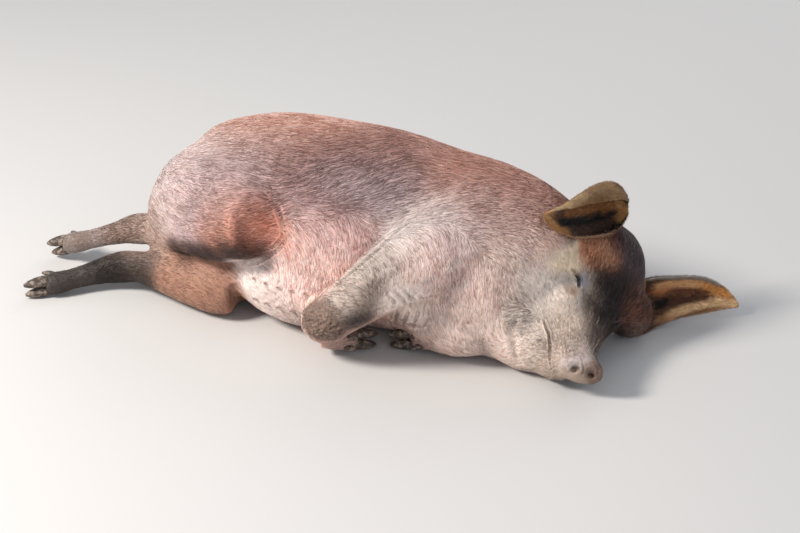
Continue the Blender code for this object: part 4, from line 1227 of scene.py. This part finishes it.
# Length and width are shares of the zone's; the tips stand a little off the skin
LEAST_LENGTH, LENGTH_RANGE = 0.62, 0.66
LEAST_WIDTH, WIDTH_RANGE = 0.60, 0.52
LEAST_LIFT, LIFT_SHARE = 0.0004, 0.05
length = root_rows[:, 10] * (LEAST_LENGTH + LENGTH_RANGE * rng.random(TUFTS))
width = root_rows[:, 11] * (LEAST_WIDTH + WIDTH_RANGE * rng.random(TUFTS))
lift = LEAST_LIFT + LIFT_SHARE * length * rng.random(TUFTS) ** 2

# Loose fine hair fringes the ears
root_ear = sum(share_of_ear(roots, side) for side in ("right", "left"))
lift += EAR_FRINGE * root_ear * length * rng.random(TUFTS) ** 2

# %% Standing hair and whiskers
# Where the hair stands up: the fan of bristles behind the jaw, the lashes, the far
# cheek, the crown, the root of the left ear, and under the right ear. Each has its
# places, their reach, how steeply the hair rises and its length.
STANDING = [([(519, 303), (523, 312), (516, 316)], 0.013, 0.60, 0.024),
            ([(580, 284), (583, 290), (577, 276)], 0.004, 0.50, 0.009),
            ([(604, 322), (614, 327), (622, 330)], 0.016, 0.40, 0.018),
            ([(640, 262), (632, 246), (622, 238)], 0.020, 0.25, 0.020),
            ([(632, 302), (642, 294), (644, 306), (650, 300)], 0.014, 0.18, 0.034),
            ([(572, 240), (590, 240), (606, 238)], 0.010, 0.40, 0.016)]
for spots, reach, steep, long in STANDING:
    share = bell(roots, spots, reach)
    length += share * (long - length) * (0.6 + 0.8 * rng.random(TUFTS))
    lift += share * steep * length * rng.random(TUFTS)

# Whiskers: a few long thin hairs that stand off the snout, the chin and the brow
WHISKERS, WHISKER_LENGTH, WHISKER_WIDTH = 320, 0.014, 0.00042
WHISKER_SPOTS = [(556, 352), (566, 350), (590, 350), (560, 372), (548, 340), (600, 335),
                 (568, 262)]
chance = bell(roots, WHISKER_SPOTS, 0.022)
whiskers = rng.choice(TUFTS, size=WHISKERS, replace=False, p=chance / chance.sum())
length[whiskers] = WHISKER_LENGTH + WHISKER_LENGTH * rng.random(WHISKERS)
width[whiskers] = WHISKER_WIDTH
lift[whiskers] = length[whiskers] * (0.25 + 0.35 * rng.random(WHISKERS))
print("tufts are up to", length.max().round(3), "m long and", width.max().round(5), "m wide")

# %% The blades
skin_tree = BVHTree.FromObject(skin, bpy.context.evaluated_depsgraph_get())


def set_on_skin(points, rise):
    """Each point moves to the nearest place on the skin and a little off it."""
    made = np.empty_like(points)
    for k, point in enumerate(points):
        spot, normal, _, _ = skin_tree.find_nearest(point)
        made[k] = spot + normal * rise[k]
    return made


MIDDLE_AT, MIDDLE_LIFT = 0.48, 0.55        # shares of the tuft's length and of its lift
SKIN_GAP, ROOT_SINK = 0.0003, 0.0007
ROOT_WIDTH, RIDGE = 0.7, 0.6               # shares of the tuft's half width
middle = set_on_skin(roots + way * (length * MIDDLE_AT)[:, None], SKIN_GAP + lift * MIDDLE_LIFT)
tip = set_on_skin(roots + way * length[:, None], lift)
side_root = np.cross(root_normals, way)
side_mid = unit(np.cross(root_normals, tip - roots))
half = (width / 2)[:, None]
blade = np.stack([
    roots - root_normals * ROOT_SINK - side_root * half * ROOT_WIDTH,
    roots - root_normals * ROOT_SINK + side_root * half * ROOT_WIDTH,
    middle - side_mid * half,
    middle + side_mid * half,
    middle + root_normals * half * RIDGE,
    tip], axis=1)
blade[:, :, 2] = np.maximum(blade[:, :, 2], SKIN_GAP)      # above the floor
BLADE_FACES = np.array([[0, 1, 3], [0, 3, 2], [0, 2, 4], [1, 4, 3],
                        [0, 4, 1], [2, 5, 4], [3, 4, 5], [2, 3, 5]])
PATCH = 0.0015
BLADE_UV = np.array([[-1, -1], [1, -1], [-1, 0], [1, 0], [0, 0], [0, 1]]) * PATCH

# %% [markdown]
# ### The tone of each tuft
#
# Each hair is drawn dark or light by its zone's share, and two soft waves, one of
# centimetres and one of millimetres, move the share so that light hairs gather in
# streaks. Mud greys the hair that it sticks to.

# %% Hair colours
STREAKS = ((0.22, 0.05, 5), (0.20, 0.009, 6))          # share, size, seed
ROOT_TONES = 0.86, 1.08    # dark and light hair near the root, against the skin's tint
CAKED_TONE, MOST_CAKED = "#847064", 0.75
lock_tone = sum(share * waves(roots, size, seed) for share, size, seed in STREAKS)
pale = rng.random(TUFTS) + lock_tone < root_rows[:, 9]
tone = rng.random(TUFTS)[:, None] ** 0.6
base_tone = root_rows[:, 0:3]
dark_hair = root_rows[:, 3:6] * tone + base_tone * ROOT_TONES[0] * (1 - tone)
light_hair = root_rows[:, 6:9] * tone + base_tone * ROOT_TONES[1] * (1 - tone)
hair = np.where(pale[:, None], light_hair, dark_hair)
caked = MOST_CAKED * root_mud[:, None]
hair = hair * (1 - caked) + linear(CAKED_TONE) * caked
hair *= (0.90 + 0.20 * rng.random(TUFTS))[:, None]
hair = np.clip(hair, 0.004, 0.95)
print("tufts:", TUFTS, "of which pale:", int(pale.sum()))

# %% Materials of skin and coat
# Pig skin: a dry, finely creased hide, matt and a little greasy on the bare parts.
# A noise has its size in metres as one over its scale: blotches of 18 mm, crumbs of
# mud of 5 mm, and a grain of 2.4 mm, which is coarser than pores so that it shows.
hide, tree, shader = new_material("pig hide", IOR=1.42)
tint = add_node(tree, "ShaderNodeAttribute", attribute_name="skin_tint")
mask = add_node(tree, "ShaderNodeAttribute", attribute_name="skin_masks")
parts = add_node(tree, "ShaderNodeSeparateColor", [(mask.outputs["Color"], "Color")])
where = add_node(tree, "ShaderNodeTexCoord").outputs["Object"]
mottle = add_node(tree, "ShaderNodeTexNoise", [(where, "Vector")],
                  Scale=55.0, Detail=4.0, Roughness=0.62)
mottle_tone = add_node(tree, "ShaderNodeMapRange", [(mottle.outputs["Fac"], "Value")],
                       From_Min=0.3, From_Max=0.7, To_Min=0.82, To_Max=1.14)
tinted = add_node(tree, "ShaderNodeVectorMath",
                  [(tint.outputs["Color"], 0), (mottle_tone.outputs["Result"], "Scale")],
                  operation="SCALE")
crumbs = add_node(tree, "ShaderNodeTexNoise", [(where, "Vector")],
                  Scale=190.0, Detail=5.0, Roughness=0.7).outputs["Fac"]
mud_edge = add_node(tree, "ShaderNodeMath", [(parts.outputs["Red"], 0), (crumbs, 1)],
                    operation="ADD")
mud_share = add_node(tree, "ShaderNodeMapRange", [(mud_edge.outputs["Value"], "Value")],
                     From_Min=0.78, From_Max=1.02, To_Min=0.0, To_Max=0.92).outputs["Result"]
mud_tones = add_node(tree, "ShaderNodeValToRGB", [(crumbs, "Fac")],
                     stops=((0.36, "#46342a"), (0.66, "#917a6c")))
muddy = add_node(tree, "ShaderNodeMix", [(mud_share, 0), (tinted.outputs["Vector"], 6),
                                         (mud_tones.outputs["Color"], 7)], data_type="RGBA")
tree.links.new(muddy.outputs[2], shader.inputs["Base Color"])
shine = add_node(tree, "ShaderNodeMapRange", [(parts.outputs["Green"], "Value")],
                 To_Min=0.62, To_Max=0.42)
tree.links.new(shine.outputs["Result"], shader.inputs["Roughness"])
fine = add_node(tree, "ShaderNodeTexNoise", [(where, "Vector")],
                Scale=420.0, Detail=3.0, Roughness=0.6)
grain = add_node(tree, "ShaderNodeBump", [(fine.outputs["Fac"], "Height")],
                 Strength=0.35, Distance=0.0010)
lumps = add_node(tree, "ShaderNodeBump",
                 [(mud_share, "Height"), (grain.outputs["Normal"], "Normal")],
                 Strength=0.5, Distance=0.0020)
tree.links.new(lumps.outputs["Normal"], shader.inputs["Normal"])
skin_mesh.materials.append(hide)

# Bristle: keratin, half gloss, so each flat lock catches a thin streak of light.
bristle, tree, shader = new_material("pig bristle", Roughness=0.38, IOR=1.52)
own_tone = add_node(tree, "ShaderNodeAttribute", attribute_name="hair_tone")
tree.links.new(own_tone.outputs["Color"], shader.inputs["Base Color"])

# %% Cut the coat into pieces and build them
PIECE_LIMIT = 24500
FACES_PER_TUFT = len(BLADE_FACES)


def coat_piece(name, chosen):
    """One piece of the coat from the chosen tufts, with their tones and their map."""
    points = blade[chosen].reshape(-1, 3)
    starts = np.arange(len(chosen))[:, None, None] * blade.shape[1]
    faces = (BLADE_FACES[None] + starts).reshape(-1, 3)
    mesh = mesh_from(name, points, faces)
    colour_layer(mesh, "hair_tone", np.repeat(hair[chosen], blade.shape[1], axis=0))
    spots = (root_uv[chosen][:, None] + BLADE_UV[None])[:, BLADE_FACES.ravel()]
    layer = mesh.uv_layers.new(name="OFBake")
    layer.data.foreach_set("uv", np.clip(spots, 0, 1).astype(np.float32).ravel())
    piece = place(name, mesh, bristle)
    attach(piece, "root")
    return piece


# From the tail forwards, and the tufts of the face after all the others
on_face = on_hosts(thinness(skin_points)[0][:, None])[:, 0] > 0.25
order = np.argsort(roots[:, 0] + 3 * on_face)
blocks = np.array_split(order, math.ceil(TUFTS / PIECE_LIMIT))
COAT_NAMES = ["coat_hind", "coat_rump", "coat_loin", "coat_flank", "coat_shoulder",
              "coat_neck", "coat_face", "coat_head"]
for name, chosen in zip(COAT_NAMES, blocks):
    coat_piece(name, np.sort(chosen))
print("coat pieces:", len(blocks), "of up to", max(len(b) for b in blocks) * FACES_PER_TUFT)

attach(skin, "root")
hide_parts(*FLESH_NODES)

# %% [markdown]
# ## Eyes
#
# Only a thin line of each eye shows between the lids, but a dark wet line is what
# makes the face look asleep and not unfinished. Each eyeball is a smooth sphere
# in place of the frame's faceted one, a little further out, so that it just shows
# in the slit.

# %% Eyeballs
wet_eye, tree, shader = new_material("wet eye", Roughness=0.08, IOR=1.38,
                                     Base_Color=rgba("#120b09"))
where = add_node(tree, "ShaderNodeTexCoord").outputs["Object"]
veins = add_node(tree, "ShaderNodeTexNoise", [(where, "Vector")], Scale=260.0)
eye_tones = add_node(tree, "ShaderNodeValToRGB", [(veins.outputs["Fac"], "Fac")],
                     stops=((0.0, "#0d0807"), (1.0, "#2b1b14")))
tree.links.new(eye_tones.outputs["Color"], shader.inputs["Base Color"])

for side, middle in EYES.items():
    low, high = box_of("eye_" + side)
    radius = (high - low).max() / 2
    eyeball = piece_of("eyeball_" + side, *ball(middle, radius, 48, 24), wet_eye)
    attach(eyeball, "root")
    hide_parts("eye_" + side)
    print(eyeball.name, "has a radius of", radius.round(4), "m")

# %% [markdown]
# ## Hooves
#
# A pig walks on two claws to a foot, with two small dewclaws behind. They are
# horn: grown in fine rings from the hairline down, dark, worn matt and packed
# with dried mud. The frame's own nodes have the shape, so they stay and only get
# this finish, with rings drawn three millimetres apart, wide enough to show.

# %% Horn
horn, tree, shader = new_material("hoof horn", Roughness=0.55, IOR=1.54)
where = add_node(tree, "ShaderNodeTexCoord").outputs["Object"]
rings = add_node(tree, "ShaderNodeTexWave", [(where, "Vector")],
                 wave_type="BANDS", bands_direction="X", Scale=110.0, Distortion=5.0,
                 Detail=2.0, Detail_Scale=2.0)
cake = add_node(tree, "ShaderNodeTexNoise", [(where, "Vector")],
                Scale=120.0, Detail=5.0, Roughness=0.7)
horn_tones = add_node(tree, "ShaderNodeValToRGB", [(rings.outputs["Fac"], "Fac")],
                      stops=((0.0, "#2c221b"), (1.0, "#4a3c31")))
cake_share = add_node(tree, "ShaderNodeMapRange", [(cake.outputs["Fac"], "Value")],
                      From_Min=0.48, From_Max=0.60)
caked_horn = add_node(tree, "ShaderNodeMix", [(cake_share.outputs["Result"], 0),
                                              (horn_tones.outputs["Color"], 6)],
                      data_type="RGBA")
caked_horn.inputs[7].default_value = rgba("#8a7868")
tree.links.new(caked_horn.outputs[2], shader.inputs["Base Color"])
horn_bump = add_node(tree, "ShaderNodeBump", [(rings.outputs["Fac"], "Height")],
                     Strength=0.3, Distance=0.0006)
tree.links.new(horn_bump.outputs["Normal"], shader.inputs["Normal"])
CLAWS = [name for name in HARD_NODES if "claw" in name]
for name in CLAWS:
    for slot in nodes[name].material_slots:
        slot.material = horn
print("hooves of horn:", len(CLAWS))

# %% [markdown]
# ## Light and floor
#
# In the picture the light falls from high on the left, behind the camera. In a
# studio that is one large soft light there, a weak one from the right to open the
# shadows, a third from behind, and pale air all round.

# %% Floor, lights and air
floor_look, tree, shader = new_material("pale floor", Roughness=0.85,
                                        Base_Color=rgba("#c9c6c2"))
FLOOR_HALF = 12.0
corners = np.array([[-1, -1, 0], [1, -1, 0], [1, 1, 0], [-1, 1, 0]]) * FLOOR_HALF
floor = piece_of("floor", corners.astype(float), np.array([[0, 1, 2, 3]]), floor_look)
floor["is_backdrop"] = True


def soft_light(name, spot, aim, size, watts, tint):
    """A square light at a spot, turned to what it aims at."""
    lamp = bpy.data.lights.new(name, "AREA")
    lamp.size, lamp.energy, lamp.color = size, watts, tuple(linear(tint))
    made = place(name, lamp)
    made.location = spot
    made.rotation_euler = (Vector(aim) - Vector(spot)).to_track_quat("-Z", "Y").to_euler()


soft_light("key", (-1.75, -2.10, 2.45), (0.05, 0, 0.1), size=0.8, watts=165, tint="#fffaf5")
soft_light("fill", (2.6, -2.0, 1.6), (0.1, 0, 0.1), size=2.5, watts=20, tint="#f2f2ff")
soft_light("back", (0.3, 2.8, 2.0), (0.0, 0, 0.1), size=2.0, watts=22, tint="#ffffff")
air = bpy.data.worlds.new("air")
air.use_nodes = True
sky = air.node_tree.nodes["Background"].inputs
sky["Color"].default_value, sky["Strength"].default_value = rgba("#e3ebf7"), 0.55
bpy.context.scene.world = air
bpy.context.scene.view_settings.view_transform = "Standard"

# %% [markdown]
# ## Sizes
#
# The last cell prints the box of the finished pig. The looks may not make the
# animal bigger.

# %% Print the size of the finished pig
low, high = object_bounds()
print("visual box", [round(v, 4) for v in (*low, *high)])
